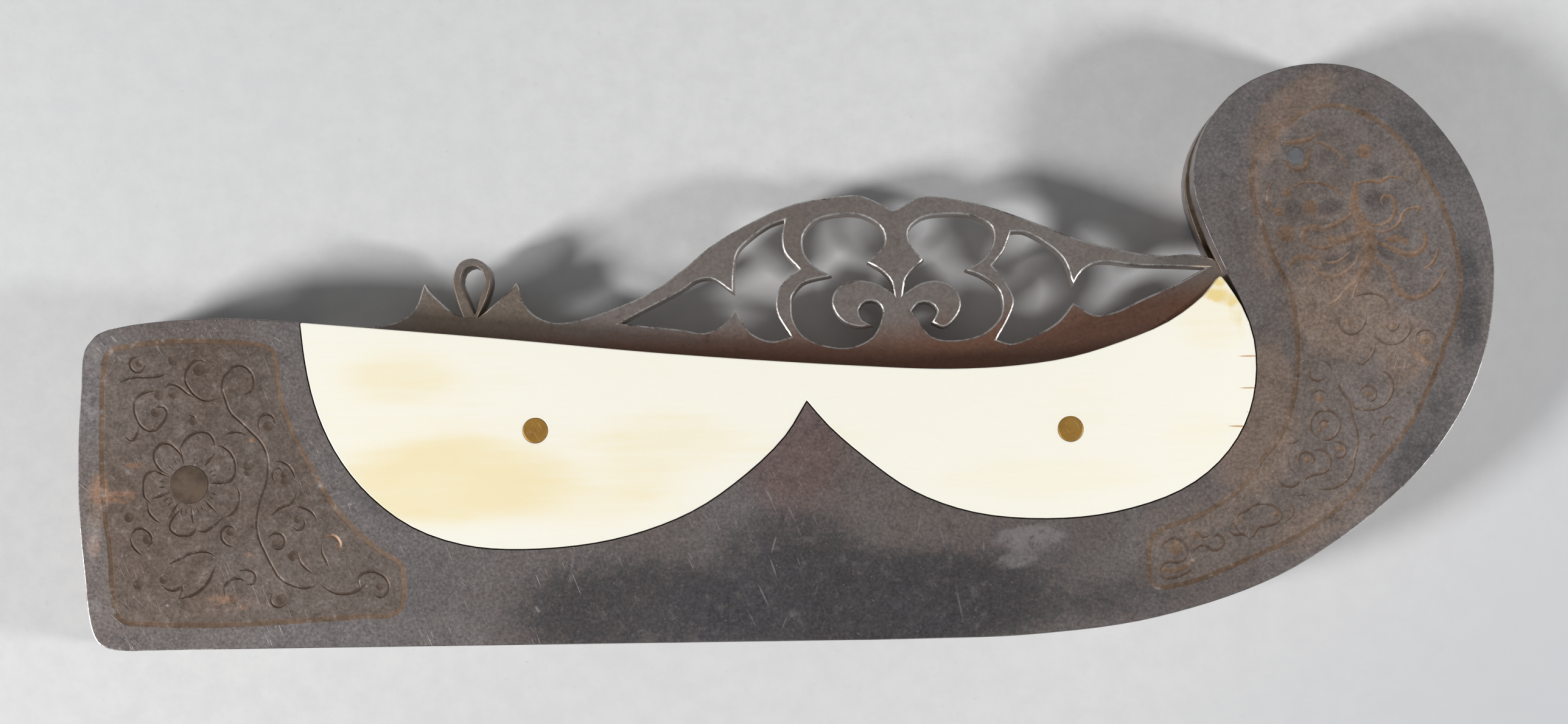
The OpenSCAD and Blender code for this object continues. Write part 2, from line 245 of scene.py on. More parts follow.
# %% Marks on the plate
SCRATCHES = [
    (-1.2, -20.2, 1.3, 0.14, 74, 0.9), (-1.3, -22.6, 1.5, 0.13, 108, 0.9),
    (-2.4, -25.5, 1.9, 0.13, 115, 0.8), (-3.6, -28.1, 1.4, 0.12, 116, 0.6),
    (-1.6, -15, 1, 0.16, 121, 0.9), (-22.7, -21.6, 1.7, 0.3, 83, 0.5),
    (-22.9, -23.6, 0.6, 0.35, 90, 0.5), (-26.5, -26.7, 0.6, 0.22, 124, 0.9),
    (-17.6, -21.7, 0.9, 0.15, 110, 0.7), (-10.1, -21.3, 0.8, 0.16, 120, 0.7),
    (14.3, -18.3, 2, 0.16, 78, 0.6), (16.7, -19.5, 2.6, 0.16, 104, 0.4),
    (18.4, -26.8, 2.5, 0.15, 101, 0.6), (-0.2, -28.5, 1.2, 0.14, 67, 0.6),
    (21.1, -20.7, 0.7, 0.13, 85, 0.7), (37.2, -19.7, 1.5, 0.14, 64, 0.4),
    (-72.2, 3, 0.9, 0.16, 135, 0.9), (-67.5, 2.1, 1.5, 0.15, 123, 0.6),
    (-73.4, 2.4, 0.9, 0.14, 138, 0.7), (-73, 1.5, 0.8, 0.14, 138, 0.6),
    (-73.9, 1.9, 0.7, 0.13, 138, 0.6), (-71.6, 0.9, 0.6, 0.12, 135, 0.5),
    (-50.8, -8.5, 0.5, 0.16, 130, 0.8), (-48.4, -14.1, 1.3, 0.16, 12, 0.5),
    (-46.6, -15.2, 1.5, 0.16, 14, 0.5), (-49.6, -13.2, 0.9, 0.14, 8, 0.4),
    (49.6, 14.9, 0.45, 0.2, 25, 0.9), (59.8, 29, 0.45, 0.14, 60, 0.8),
    (68.1, 14.6, 0.4, 0.2, -35, 1), (48.9, 25.4, 0.3, 0.14, 60, 0.7),
    (72.2, 12.6, 2.8, 0.12, 119, 0.45), (71.2, 12.4, 2.3, 0.12, 119, 0.4),
    (73.1, 11.9, 2.1, 0.12, 119, 0.35), (64.7, 24.1, 0.5, 0.3, 20, 0.6),
    (62.9, 24.9, 0.3, 0.16, 40, 0.7), (49.2, 18.2, 0.7, 0.12, 125, 0.6),
]
RUBBED = [
    (26, -19.8, 5.6, 2, 3, 1.3), (24.6, -22.2, 3.4, 1.4, 8, 1.1), (2, -19.8, 2.4, 0.7, 10, 0.5),
    (-74.6, -4.3, 1.3, 3, 0, 1), (-74.6, 1, 1.6, 3.5, 0, 0.9), (-74.3, -18.5, 1.3, 4.5, 0, 0.8),
    (-74, -26.5, 1.4, 3, 0, 0.7), (-72.6, 1.6, 2.2, 1.6, 135, 0.5),
    (64.5, 23.9, 1.6, 0.8, -40, 0.5), (70.5, 15.5, 1.6, 5.5, 25, 0.25),
    (-47.5, -14.5, 3, 1.2, 10, 0.3),
]
RUST_BEDS = [
    (-73.6, -13.2, 3, 1.5, 90, 1), (-71.2, -14, 2.6, 1.5, 10, 0.8), (-74.2, -19.2, 2.3, 1.1, 90, 1),
    (-69.9, -10.6, 1.7, 0.6, 0, 0.8), (-60.5, -25.2, 2.6, 0.9, 0, 0.8),
    (-58, -25.9, 1.4, 0.6, 0, 0.7), (-56.3, -18.5, 0.9, 0.5, 0, 0.6),
    (-57.2, -8.1, 0.5, 0.4, 0, 1.5), (-57.4, -20.4, 0.9, 0.4, 0, 0.7), (58, 28.7, 2, 1.3, 0, 0.55),
    (54.4, 25.6, 3, 1.3, 60, 0.6), (53, 23.4, 2.2, 1.2, 20, 0.55), (67.4, -2.6, 2.6, 1.3, 45, 0.45),
    (64.3, 14.6, 0.5, 0.4, 0, 0.4), (68.6, 0.6, 1.2, 1, 0, 0.45),
]
BELT = [
    (-16, -27, 20, 8.5, 0, 1), (8, -26.5, 24, 8, 0, 1.1), (17, -26.5, 22, 7.5, 0, 0.6),
    (28, -20.5, 12, 5, 5, 0.3), (0, -19.5, 11, 5, 0, 0.8), (37, -26, 11, 3.5, 8, 0.5),
    (-42, -23.5, 12, 6, 0, 0.4), (-51, -25.5, 6, 3.5, 0, 0.3), (67.5, -11, 11, 3.2, 60, 0.7),
    (73, 5, 2.6, 11, 0, 0.8), (70, 21, 9, 4.5, -52, 0.7), (-68, -29.3, 8, 1.6, 0, 0.4),
    (-44, -14, 5, 3, -45, 0.5),
]
# Brown haze: partly a brown stain on the steel, partly a painted sheen that lightens the middle of
# the butt's panel.
BROWN_HAZE_AND_SHEEN = [
    (57.5, 27.6, 4.2, 3.2, 20, 1), (54, 25.2, 4.6, 3, 50, 1.2), (51.9, 21.8, 2.6, 3.4, 0, 1.1),
    (50.7, 17, 1.8, 4.5, 0, 0.7), (51.6, 10, 2, 4.5, 12, 0.8), (67.5, 19, 2, 5.5, 35, 0.6),
    (59.5, 12, 6.5, 5.5, 0, 0.5), (60, 3.5, 9, 6.5, -20, 1.4), (66.5, -1, 3.5, 6, -25, 0.9),
    (57.5, -18.5, 10, 3.5, 30, 0.8), (50, -9.5, 6, 10, -15, 1.2), (52, -3, 3, 6, 0, 1),
    (42, -19, 8, 4, 15, 0.5), (-74, -14.5, 1.8, 5, 0, 0.9), (-60, -25.5, 6, 1.6, 0, 0.5),
]
LEAF_SHADES = [
    (63.8, 15.4, 2, 1.6, 0, 0.9), (65.9, 16.3, 1.5, 1.2, 0, 0.6), (64.6, 9.9, 1.6, 0.9, -40, 1.1),
    (67, 8.4, 1.8, 1.5, 20, 0.6), (54.9, 14.6, 1.6, 2.2, 0, 0.8), (58.8, 14.9, 2.2, 1.3, 10, 0.9),
    (58, 12.6, 1.8, 0.9, 25, 0.8), (58.8, 8.9, 2, 1.1, 35, 0.9), (60.8, 9.6, 0.8, 1.6, -20, 0.8),
    (66.2, 11.6, 1.5, 1, 0, 0.7), (63.9, 18.6, 2, 1, 10, 0.6), (58.9, 20.2, 1.8, 1.5, 0, 0.7),
    (59.2, 22.6, 2.6, 1, 15, 0.5), (62.6, -0.9, 1.2, 2.2, 10, 0.4),
]
FLUSH = (1, -10.5, 9, 9)
KEEL_WEAR = (-4, -21, 36, 12)
print("marks", len(SCRATCHES), len(RUBBED), len(RUST_BEDS), len(BELT), len(BROWN_HAZE_AND_SHEEN))

# %% [markdown]
# Hands and work leave rubbed places, fine scratches in three directions, single scratches and
# bright specks on the open faces. The cuts' bottoms lie too deep for them.

# %% Handling
RUBBED_STEEL = (0.42, 0.38, 0.375)
SCRATCHED = (0.50, 0.47, 0.46)
SPECK = (0.6, 0.57, 0.54)


def handled(mm, colour, height, patch):
    rubbed = (mm.marks(RUBBED) * (patch * 2.6 - 0.6)).limit(0.15, 1.1)
    colour = colour.mix(RUBBED_STEEL, rubbed * 0.8)
    worn_area = mm.noise(0.13, 2.0, 0.5).limit(0.42, 0.62) + mm.near(*KEEL_WEAR) * 0.6
    worn_area = worn_area.limit(0.0, 1.3)
    lines = (
        mm.scratches(112, 4, 0.13, 0.69)
        + mm.scratches(70, 3, 0.12, 0.71)
        + mm.scratches(140, 3, 0.12, 0.71)
    ) * worn_area
    single = mm.marks(SCRATCHES)
    colour = colour.mix(SCRATCHED, (lines * 0.3 + single * 0.75).limit(0.0, 1.0) * 0.8)
    colour = colour.mix(SPECK, mm.noise(3.6, 1.0, 0.5).limit(0.73, 0.8) * 0.5)
    return colour, height - single * 0.5 - lines * 0.3


print("handling ready")

# %% [markdown]
# One function makes all the plate's steels: the plain face, the duller ground of the engraved
# panels, the brown borders and the bottoms of the cuts. They share the marks, so a rust patch
# runs on from one into the next, as it does on the knife.

# %% Plate steel
BELT_BLUE = (0.10, 0.098, 0.107)
FLUSH_BROWN = (0.27, 0.165, 0.15)
HAZE_AND_SHEEN_BROWN = (0.40, 0.285, 0.22)
LEAF_DARK = (0.15, 0.125, 0.12)
PITS = (0.085, 0.06, 0.045)
PALE_BLOTCH = (0.34, 0.31, 0.295)
PALE_PATCH = (0.33, 0.305, 0.30)
RUST = (0.36, 0.185, 0.105)


def worn_steel(name, pale, warm, rust_and_sheen_share, matt, belt_share, uneven, metallic, marked):
    material, shader, mm = finish_named(name, Metallic=metallic)
    cloud = mm.noise(0.06, 4.0, 0.6)
    blotch = mm.noise(0.42, 5.0, 0.68)
    patch = mm.noise(0.95, 5.0, 0.72, 0.3)
    grain = mm.noise(3.0, 3.0, 0.7)
    colour = cloud.limit(0.38, 0.64).colours(pale, warm)
    belt = mm.marks(BELT)
    ragged = (blotch - 0.5) * 1.9 + (patch - 0.5) * 1.8 + (cloud - 0.5) * 0.6
    belt = (belt * 0.8 + ragged).limit(0.1, 0.95) * belt_share
    colour = colour.mix(BELT_BLUE, belt * 0.8)
    flush = mm.near(*FLUSH) * (blotch + 0.5)
    colour = colour.mix(FLUSH_BROWN, flush.limit(0.0, 1.2) * 0.6)
    # The haze mixes towards a pale brown: a stain, and in the butt panel's middle a painted sheen.
    haze_and_sheen = (mm.marks(BROWN_HAZE_AND_SHEEN) * 0.75 + (patch - 0.5) * 1.3).limit(0.05, 0.9)
    colour = colour.mix(HAZE_AND_SHEEN_BROWN, haze_and_sheen * 0.62 * rust_and_sheen_share)
    if marked:
        pocket = (mm.marks(LEAF_SHADES) * (patch + 0.5)).limit(0.1, 1.1)
        colour = colour.mix(LEAF_DARK, pocket * 0.75)
    colour = colour.mix(PITS, patch.limit(0.55, 0.72) * 0.5 * uneven)
    colour = colour.mix(PALE_BLOTCH, blotch.limit(0.56, 0.75) * 0.35 * uneven)
    colour = colour.mix(PALE_PATCH, patch.limit(0.56, 0.68) * 0.3 * uneven)
    streak = mm.vector("MULTIPLY", (0.5, 1.3, 1)).noise(1.9, 4.0, 0.7)
    rust = (mm.marks(RUST_BEDS) * 0.62 + streak * 1.25 - 0.66).limit(0.2, 0.75) * rust_and_sheen_share
    colour = colour.mix(RUST, rust * 0.65)
    tone = (blotch - 0.5) * 0.75 * uneven + (patch - 0.5) * 0.9 + (grain - 0.5) * 0.95 + 1.0
    colour = colour.vector("SCALE", scale=tone)
    height = grain * 0.5 + patch * 0.5
    if marked:
        colour, height = handled(mm, colour, height, patch)
    roughness = (grain - 0.5) * 0.3 + matt + rust * 0.12 - belt * 0.05
    connect(shader, colour, roughness, height, 0.035, 0.5)
    return material


print("steel recipe ready")

# %% [markdown]
# The cuts hold old rust and dirt, the faces less. Each row gives two colours, the share of rust
# and of the brown haze with its painted sheen, how matt the steel is, the share of the belt, how
# uneven it is and how metallic.

# %% Faces and bottoms of cuts
FACES = {
    "plate_steel": ((0.275, 0.247, 0.243), (0.25, 0.21, 0.195), 1.0, 0.42, 1.0, 1.0, 0.75),
    "engraved_ground": ((0.205, 0.165, 0.142), (0.17, 0.128, 0.105), 1.1, 0.5, 0.25, 1.4, 0.75),
    "butt_ground": ((0.285, 0.245, 0.23), (0.26, 0.208, 0.182), 1.1, 0.46, 0.5, 1.15, 0.75),
}
CUTS = {
    "border_brown": ((0.20, 0.135, 0.095), (0.15, 0.095, 0.063), 0.35, 0.6, 0.2, 1.9, 0.6),
    "cut_bottom": ((0.115, 0.08, 0.06), (0.085, 0.056, 0.04), 0.8, 0.6, 0.1, 1.3, 0.45),
    "butt_line": ((0.165, 0.118, 0.092), (0.135, 0.092, 0.07), 0.15, 0.6, 0.1, 1.6, 0.6),
    "rusty_cut": ((0.27, 0.175, 0.12), (0.215, 0.14, 0.096), 0.7, 0.55, 0.1, 1.7, 0.6),
}
steel = {name: worn_steel(name, *row, marked=True) for name, row in FACES.items()}
steel |= {name: worn_steel(name, *row, marked=False) for name, row in CUTS.items()}
print("plate steels", *steel)

# %% [markdown]
# Hands rub the rims bright, in places more than in others. A shader could find sharp edges by
# itself, but not the ones that hands reach. So the bevels that round the rims get a finish of
# their own, and a list says where it is brightest: partly rubbed steel, and partly a painted
# highlight on the rims where the lamps glint.

# %% Worn rims
# These places are partly rubbed steel and partly a painted highlight: the rims are made brightest
# where the lamps glint on them.
RIM_WEAR_AND_HIGHLIGHTS = [
    (68.5, -7, 10, 9, 0, 1.1), (59, -18, 10, 6, 30, 0.5), (-75, -29, 5, 5, 0, 1.1),
    (-75.8, -20, 2.5, 5.5, 0, 0.5), (-75.8, -3, 2, 3, 0, 0.3), (-69, -30.5, 12, 2, 0, 0.4),
    (43.8, 9, 1.5, 2, 0, 0.5), (44.8, 17, 1.5, 2.5, 0, 0.3), (49, -1, 2, 3.5, 0, 0.3),
]


def rim_finish(name, bright, dull, least, places=()):
    material, shader, mm = finish_named(name, Metallic=0.95)
    wear_and_highlight = mm.noise(0.35, 4.0, 0.65)
    grain = mm.noise(3.0, 3.0, 0.7)
    wear_and_highlight = (wear_and_highlight * 0.8 + grain * 0.4).limit(least, 0.68)
    # The listed places brighten the rim: rubbed steel, and a painted highlight where the lamps
    # glint.
    if places:
        wear_and_highlight = wear_and_highlight * (mm.marks(places) + 0.3).limit(0.0, 1.0)
    connect(shader, wear_and_highlight.colours(dull, bright), grain * 0.25 + 0.16, grain, 0.02, 0.3)
    return material


bright_rim = rim_finish(
    "bright_rim", (0.86, 0.84, 0.82), (0.24, 0.215, 0.205), 0.42, RIM_WEAR_AND_HIGHLIGHTS
)
crest_rim = rim_finish("crest_rim", (0.93, 0.91, 0.88), (0.28, 0.225, 0.195), 0.40)
print("rims", bright_rim.name, crest_rim.name)

# %% [markdown]
# Ivory is cream with wide, soft yellow patches, faint long grain and a few short brown cracks
# where it meets the plate. Light goes a little way into it, so the shader gets some subsurface
# scattering, without which it would look like paint.

# %% Ivory
YELLOWED = [
    (-36, -13, 17, 6.5, 0, 0.75), (-22, -14.5, 17, 5, 0, 0.5), (-41, -1.5, 9, 4, 0, 0.4),
    (-12, -9, 13, 5, 0, 0.45), (28, -13.5, 16, 4, 0, 0.3), (44, -10, 6, 5, 0, 0.25),
    (-42, -7, 18, 15, 0, 0.22), (46, 4, 6, 7, 0, 0.4),
]
CRACKS = [
    (49.75, -0.95, 1.5, 0.11, 0, 0.9), (49.7, -4.35, 1.4, 0.1, 0, 0.9),
    (48.6, -8.42, 1.7, 0.12, -2, 0.9), (49.6, -6.9, 0.5, 0.1, 0, 0.5),
    (-51.6, -1.15, 0.5, 0.12, 15, 0.7), (-50.6, -5.7, 0.6, 0.08, 5, 0.6),
    (-50.9, -3.9, 0.5, 0.2, 0, 0.35), (-46.2, -13.7, 0.4, 0.14, -40, 0.8),
]
TIP_STAINS = [
    (46.3, 6.3, 2.2, 1.7, -20, 0.55), (47.3, 5.3, 2, 1.2, -10, 0.7), (45.7, 5.7, 1.6, 1, -10, 0.5),
    (48.4, 3.9, 1.2, 2.4, 0, 0.5), (46.9, 7.5, 1.2, 1.2, 0, 0.7), (49, 1.8, 0.8, 2.4, 0, 0.35),
]
CREAM, YELLOW = (0.975, 0.94, 0.825), (0.94, 0.82, 0.53)
GRAIN_TAN, STAIN_YELLOW, CRACK_BROWN = (0.88, 0.76, 0.55), (0.84, 0.64, 0.20), (0.55, 0.28, 0.09)


def ivory_finish():
    material, shader, mm = finish_named(
        "polished_ivory",
        Subsurface_Weight=0.1,
        Subsurface_Scale=0.0012,
        Subsurface_Radius=(1.0, 0.7, 0.4),
        IOR=1.5,
    )
    cloud = mm.vector("MULTIPLY", (0.35, 1.2, 1)).noise(0.16, 3.0, 0.55)
    bands = mm.vector("MULTIPLY", (0.05, 1.0, 1)).noise(1.3, 3.0, 0.55)
    fibre = mm.vector("MULTIPLY", (0.12, 1.6, 1)).noise(2.6, 3.0, 0.6)
    pore = mm.noise(1.8, 3.0, 0.6)
    yellow = mm.marks(YELLOWED) + cloud.limit(0.45, 0.75) * 0.35 + (bands - 0.5) * 0.5
    colour = yellow.limit(0.0, 1.25).colours(CREAM, YELLOW)
    colour = colour.mix(GRAIN_TAN, fibre.limit(0.56, 0.8) * 0.22)
    stain = (mm.marks(TIP_STAINS) * (cloud + pore * 0.9)).limit(0.15, 1.1)
    colour = colour.mix(STAIN_YELLOW, stain * 0.8)
    cracks = mm.marks(CRACKS)
    colour = colour.mix(CRACK_BROWN, cracks.limit(0.0, 0.8) * 0.85)
    roughness = pore * 0.12 + 0.28
    connect(shader, colour, roughness, fibre * 0.3 + bands * 0.3 - cracks * 0.8, 0.02, 0.3)
    return material


ivory = ivory_finish()
print("ivory finish", len(ivory.node_tree.nodes), "nodes")

# %% [markdown]
# The other metals are small or hidden, so one plain recipe does for all: two colours, a grain
# and some scratches. The pins are dull brass, liners and spring are cleaner steel, and the two
# steel heads are brown and grey, without scratches.

# %% Plain metals
GRIME = (0.12, 0.07, 0.04)
SCRATCHED_METAL = (0.5, 0.47, 0.45)


def plain_metal(name, pale, deep, matt, metallic=0.85, scratched=0.2):
    material, shader, mm = finish_named(name, Metallic=metallic)
    cloud = mm.noise(0.5, 4.0, 0.6)
    grain = mm.noise(2.4, 5.0, 0.7)
    lines = mm.scratches(25, 3, 0.12, 0.68) + mm.scratches(-60, 2, 0.12, 0.68)
    colour = cloud.limit(0.35, 0.65).colours(pale, deep)
    colour = colour.mix(GRIME, grain.limit(0.5, 0.75) * 0.3)
    colour = colour.vector("SCALE", scale=(grain - 0.5) * 0.5 + 1.0)
    colour = colour.mix(SCRATCHED_METAL, lines * scratched)
    connect(shader, colour, grain * 0.25 + matt, grain * 0.5 - lines * 0.5, 0.03, 0.4)
    return material


brass = plain_metal("dull_brass", (0.50, 0.275, 0.06), (0.42, 0.225, 0.045), 0.38, 0.7)
liner_steel = plain_metal("clean_steel", (0.36, 0.30, 0.25), (0.22, 0.15, 0.10), 0.3)
spring_steel = plain_metal("dark_steel", (0.30, 0.27, 0.25), (0.20, 0.16, 0.13), 0.32)
rivet_grey = plain_metal("rivet_grey", (0.215, 0.22, 0.23), (0.17, 0.17, 0.18), 0.5, 0.75, 0.0)
pivot_brown = plain_metal(
    "pivot_brown", (0.145, 0.10, 0.072), (0.085, 0.058, 0.04), 0.55, 0.6, 0.0
)
print("plain metals ready")

# %% [markdown]
# The blade and its crest are one steel that aged unevenly: red-brown between the crest's openings
# and the handle's mouth, paler on the horns, and still grey inside the slot. So the brown is a
# mask on the height above a line that climbs with the mouth.

# %% Blade steel
CREST_BROWN, HORN_TAN, BLADE_PITS = (0.255, 0.115, 0.07), (0.27, 0.20, 0.14), (0.10, 0.065, 0.045)
BLADE_SCRATCHED = (0.5, 0.46, 0.43)
HORNS = (-33, 5.5, 13, 6)


def blade_finish():
    material, shader, mm = finish_named("crest_steel", Metallic=0.75)
    height, along = (mm.node("ShaderNodeSeparateXYZ", {}, {0: mm}, axis) for axis in (1, 0))
    cloud = mm.noise(0.1, 4.0, 0.6)
    blotch = mm.noise(0.6, 4.0, 0.65)
    grain = mm.noise(2.8, 4.0, 0.7)
    lines = mm.scratches(20, 4, 0.12, 0.71) + mm.scratches(-35, 3, 0.12, 0.72)
    colour = cloud.limit(0.35, 0.65).colours((0.335, 0.295, 0.275), (0.31, 0.26, 0.235))
    crest_height = height - along.limit(10, 46, 4.5)
    low = (crest_height * -1.0 + blotch * 1.6).limit(-4.4, 0.6)
    low = low * (crest_height + (cloud + blotch) * 4 - 4).limit(-9, -1)
    colour = colour.mix(CREST_BROWN, low * 0.85)
    colour = colour.mix(HORN_TAN, mm.near(*HORNS) * 0.6)
    colour = colour.mix(BLADE_PITS, blotch.limit(0.56, 0.75) * 0.4)
    colour = colour.vector("SCALE", scale=(grain - 0.5) * 0.6 + (blotch - 0.5) * 0.3 + 1.0)
    colour = colour.mix(BLADE_SCRATCHED, lines * 0.3)
    roughness = (grain - 0.5) * 0.3 + 0.42
    connect(shader, colour, roughness, grain * 0.5 + blotch * 0.3 - lines * 0.4, 0.03, 0.45)
    return material


blade_steel = blade_finish()
print("blade finish", len(blade_steel.node_tree.nodes), "nodes")

# %% [markdown]
# ## Engraving
# A graver cuts a V-shaped groove that runs out to a point. Each cut is made the same way here:
# a smooth line through a few points carries a diamond-shaped rod, thin at its ends, that is
# pressed flat, laid into the plate's face and taken away from it. A bump in the material would
# be less work, but it vanishes from the side. The lines are in millimetres of the knife.

# %% Lines of the bolster's panel
PIVOT = (-63.93, -12.79)
BOLSTER_BORDER = [
    (-73, 0.2), (-72.6, 1.5), (-71, 2), (-68, 2.35), (-64, 2.5), (-60, 2.3), (-57, 2), (-55.2, 1.4),
    (-54.6, -1.5), (-54.2, -4), (-53.5, -6), (-52.7, -8), (-51.7, -10), (-50.2, -12.6),
    (-48.6, -15.3), (-46.8, -17.4), (-44.6, -19.5), (-42.8, -20.8), (-41.3, -21.8), (-41, -23.4),
    (-41, -25), (-41.5, -26.5), (-45, -26.9), (-50, -27.2), (-54, -27.4), (-58.5, -27.6),
    (-63.5, -27.6), (-68.5, -27.4), (-71.2, -26.9), (-71.8, -25), (-72.2, -20), (-72.9, -15),
    (-73.2, -10), (-73.2, -5),
]
BOLSTER_CUTS = [
    [(-58, -3.2), (-57.2, -2.7), (-56.95, -1.75), (-57.5, -0.5), (-58.5, 0), (-59.7, -0.6),
     (-60.4, -2.2), (-60, -3.75), (-59.5, -5), (-58.5, -6), (-57.2, -7.25), (-56.25, -8.25),
     (-55.6, -9.5), (-55.4, -11), (-55.5, -12.5), (-56, -14), (-56.4, -15.5), (-56.6, -17),
     (-56.4, -18.5), (-55.75, -20), (-55, -21.5), (-54, -23), (-52.75, -23.7), (-51.4, -24),
     (-50.2, -23.8)],
    [(-71.5, -1.6), (-70, -1.1), (-68.5, -1.1), (-67.25, -1), (-66.4, -0.75)],
    [(-68.7, 0.2), (-69.3, -0.5), (-70.2, -0.2), (-70.3, 0.8), (-69.4, 1.2)],
    [(-62.1, 0.4), (-63, 0.7), (-63.75, 0.25), (-64.4, -1.25), (-63.9, -2.5), (-63, -3.4),
     (-62, -3.75), (-61, -3.6)],
    [(-66.6, -2.25), (-66, -1.9), (-65, -2.25), (-64.2, -2.9), (-63.25, -3.5)],
    [(-67.5, -2.6), (-68.6, -2.7), (-69.5, -3.2), (-69.9, -4), (-69.75, -5.25), (-69, -6.5),
     (-68, -6.9), (-66.75, -6), (-66.4, -4.75), (-67.25, -4.25), (-68, -4.75)],
    [(-64, -5.3), (-63.4, -5.5), (-63.3, -6.3)],
    [(-70.9, -7.4), (-70.2, -7.9), (-69.6, -7.3), (-69.4, -6.6)],
    [(-66, -11.75), (-67.2, -10.9), (-67.75, -9.5), (-67.2, -8.5), (-66.5, -8.25), (-65.25, -9),
     (-64.25, -10.5)],
    [(-67.5, -11.2), (-68.3, -11.4), (-68.75, -12), (-68.85, -13), (-68.75, -13.9), (-68, -14.75)],
    [(-68.4, -14.7), (-68.25, -15.6), (-67.6, -16.4), (-66.9, -16.9)],
    [(-64.9, -15.5), (-65.6, -16.3), (-65.95, -17.3), (-65.4, -18), (-64.5, -18.2), (-63.5, -18),
     (-63, -17)],
    [(-63, -17.75), (-62.3, -17.8), (-61.3, -17.3), (-60.3, -16.4)],
    [(-58.75, -13), (-58.45, -14), (-58.7, -15.25), (-59.3, -16), (-59.9, -16.3)],
    [(-60.9, -8.6), (-60.2, -8.8), (-59.4, -9.5), (-58.9, -11), (-59.25, -12.25), (-60.2, -12.6),
     (-61.3, -12.5)],
    [(-64.9, -8.9), (-64.4, -8), (-63.5, -7.3), (-62, -7.2), (-61.3, -8), (-61.2, -9)],
    [(-70.1, -18), (-69.5, -17.4), (-68.5, -17.6), (-67.9, -18.75), (-68.4, -19.4)],
    [(-70.3, -18.2), (-70, -19.2), (-69.5, -19.8), (-68.9, -20.4)],
    [(-66.8, -23.5), (-66, -24), (-65, -23.9), (-64.4, -23.3)],
    [(-66, -21.25), (-65, -20.75), (-63.5, -20.1), (-62, -20), (-61, -20.5)],
    [(-65, -25), (-63.5, -24.6), (-62.25, -23.75), (-61.4, -22.5), (-61, -21.5)],
    [(-65, -25), (-64.6, -24), (-64.7, -23.2)],
    [(-60, -25), (-60, -23.75), (-59.25, -23), (-58.4, -22.9), (-57.6, -23.3)],
    [(-58.5, -22.1), (-57.5, -22), (-56.75, -22.5), (-56.9, -23.4), (-57.7, -23.6)],
    [(-59, -19.6), (-60, -19.1), (-60.4, -18.3), (-60.2, -17.6), (-59.5, -17.25), (-58.9, -17.75)],
    [(-56.3, -7.2), (-56.4, -6.1), (-55.9, -5.4), (-55, -5.5), (-54.6, -6.4)],
    [(-60, -7.5), (-59.2, -7.2), (-58.5, -7.2), (-57.5, -7.6)],
    [(-54.6, -10.4), (-53.6, -10.6), (-52.8, -11.4), (-52.4, -12.6)],
    [(-54.6, -12.8), (-54.9, -11.8), (-54.3, -11.1), (-53.7, -11.6)],
    [(-55, -16.2), (-54, -15.4), (-52.8, -14.9), (-52.2, -13.6)],
    [(-52.6, -15.3), (-51.4, -15.5), (-50.6, -16), (-50, -17.2)],
    [(-52.9, -17.4), (-52, -17.8), (-51.4, -17.2), (-51.6, -16.6)],
    [(-55.4, -18.6), (-54.6, -18.1), (-53.8, -18.4), (-53.6, -19.2), (-54.2, -19.8), (-55, -19.5)],
    [(-52.2, -20.2), (-51.9, -21.2), (-51.2, -22), (-50.4, -22.6)],
    [(-49.6, -19.4), (-49.5, -20.4), (-49.1, -21.2), (-48.8, -22)],
    [(-49.8, -23.6), (-48.4, -24.5), (-47, -24.7), (-45.6, -24.3), (-44.8, -23.6)],
    [(-45.4, -24.2), (-45.6, -23), (-44.6, -22.4), (-43.4, -22.6), (-42.5, -23.5), (-42.5, -24.6),
     (-43.3, -25.1), (-44.1, -24.7)],
    [(-54.9, -24.5), (-55, -25.5), (-54.2, -26), (-53.2, -25.6)],
]
RUSTY_HOOK = [(-49.4, -18.8), (-48.6, -18.5), (-47.9, -18.9), (-47.7, -19.7), (-48.3, -20.2)]
BOLSTER_DOTS = [
    (-65.75, 0.6, 0.5), (-62.9, -0.45, 0.6), (-65.7, -2.9, 0.55), (-67.25, -3.1, 0.5),
    (-67.6, -4.9, 0.5), (-63.5, -5.9, 0.45), (-68.4, -18.6, 0.5), (-66.6, -22.9, 0.45),
    (-69.4, -23.4, 0.5), (-59, -25.1, 0.5), (-59.4, -17.9, 0.45), (-57.55, -10.9, 0.5),
    (-55.4, -6.6, 0.5), (-53.5, -12.7, 0.5), (-52.2, -16.7, 0.4), (-54.5, -19.3, 0.45),
    (-52.7, -20.6, 0.5), (-54, -25.2, 0.55), (-70.4, -16.2, 0.5), (-43.4, -24, 0.35),
    (-57.6, -11.6, 0.35), (-69.4, 0.4, 0.4), (-53.7, -11.9, 0.35),
]
PETAL_GAPS = (104, 50, 3, -45, -84, -121, -160, 157)
PETAL_VEINS = (172, 184, -148, -136, -106, -96, -70, -60, -30, -20, 20, 30, 78, 120, 136)
PETAL_REACH, VEIN_REACH = (2.3, 4.3), (2.5, 3.3)


def ray(angle, near, far):
    turn = math.radians(angle)
    return [
        (PIVOT[0] + r * math.cos(turn), PIVOT[1] + r * math.sin(turn))
        for r in (near, (near + far) / 2, far)
    ]


FLOWER_CUTS = [ray(a, *PETAL_REACH) for a in PETAL_GAPS]
FLOWER_VEINS = [ray(a, *VEIN_REACH) for a in PETAL_VEINS]
print("bolster cuts", len(BOLSTER_CUTS) + len(FLOWER_CUTS) + len(FLOWER_VEINS))

# %% [markdown]
# On the butt, the leaf near the curl has wide strokes full of old rust, listed with their width
# first, and thin scrolls run down to the keel.

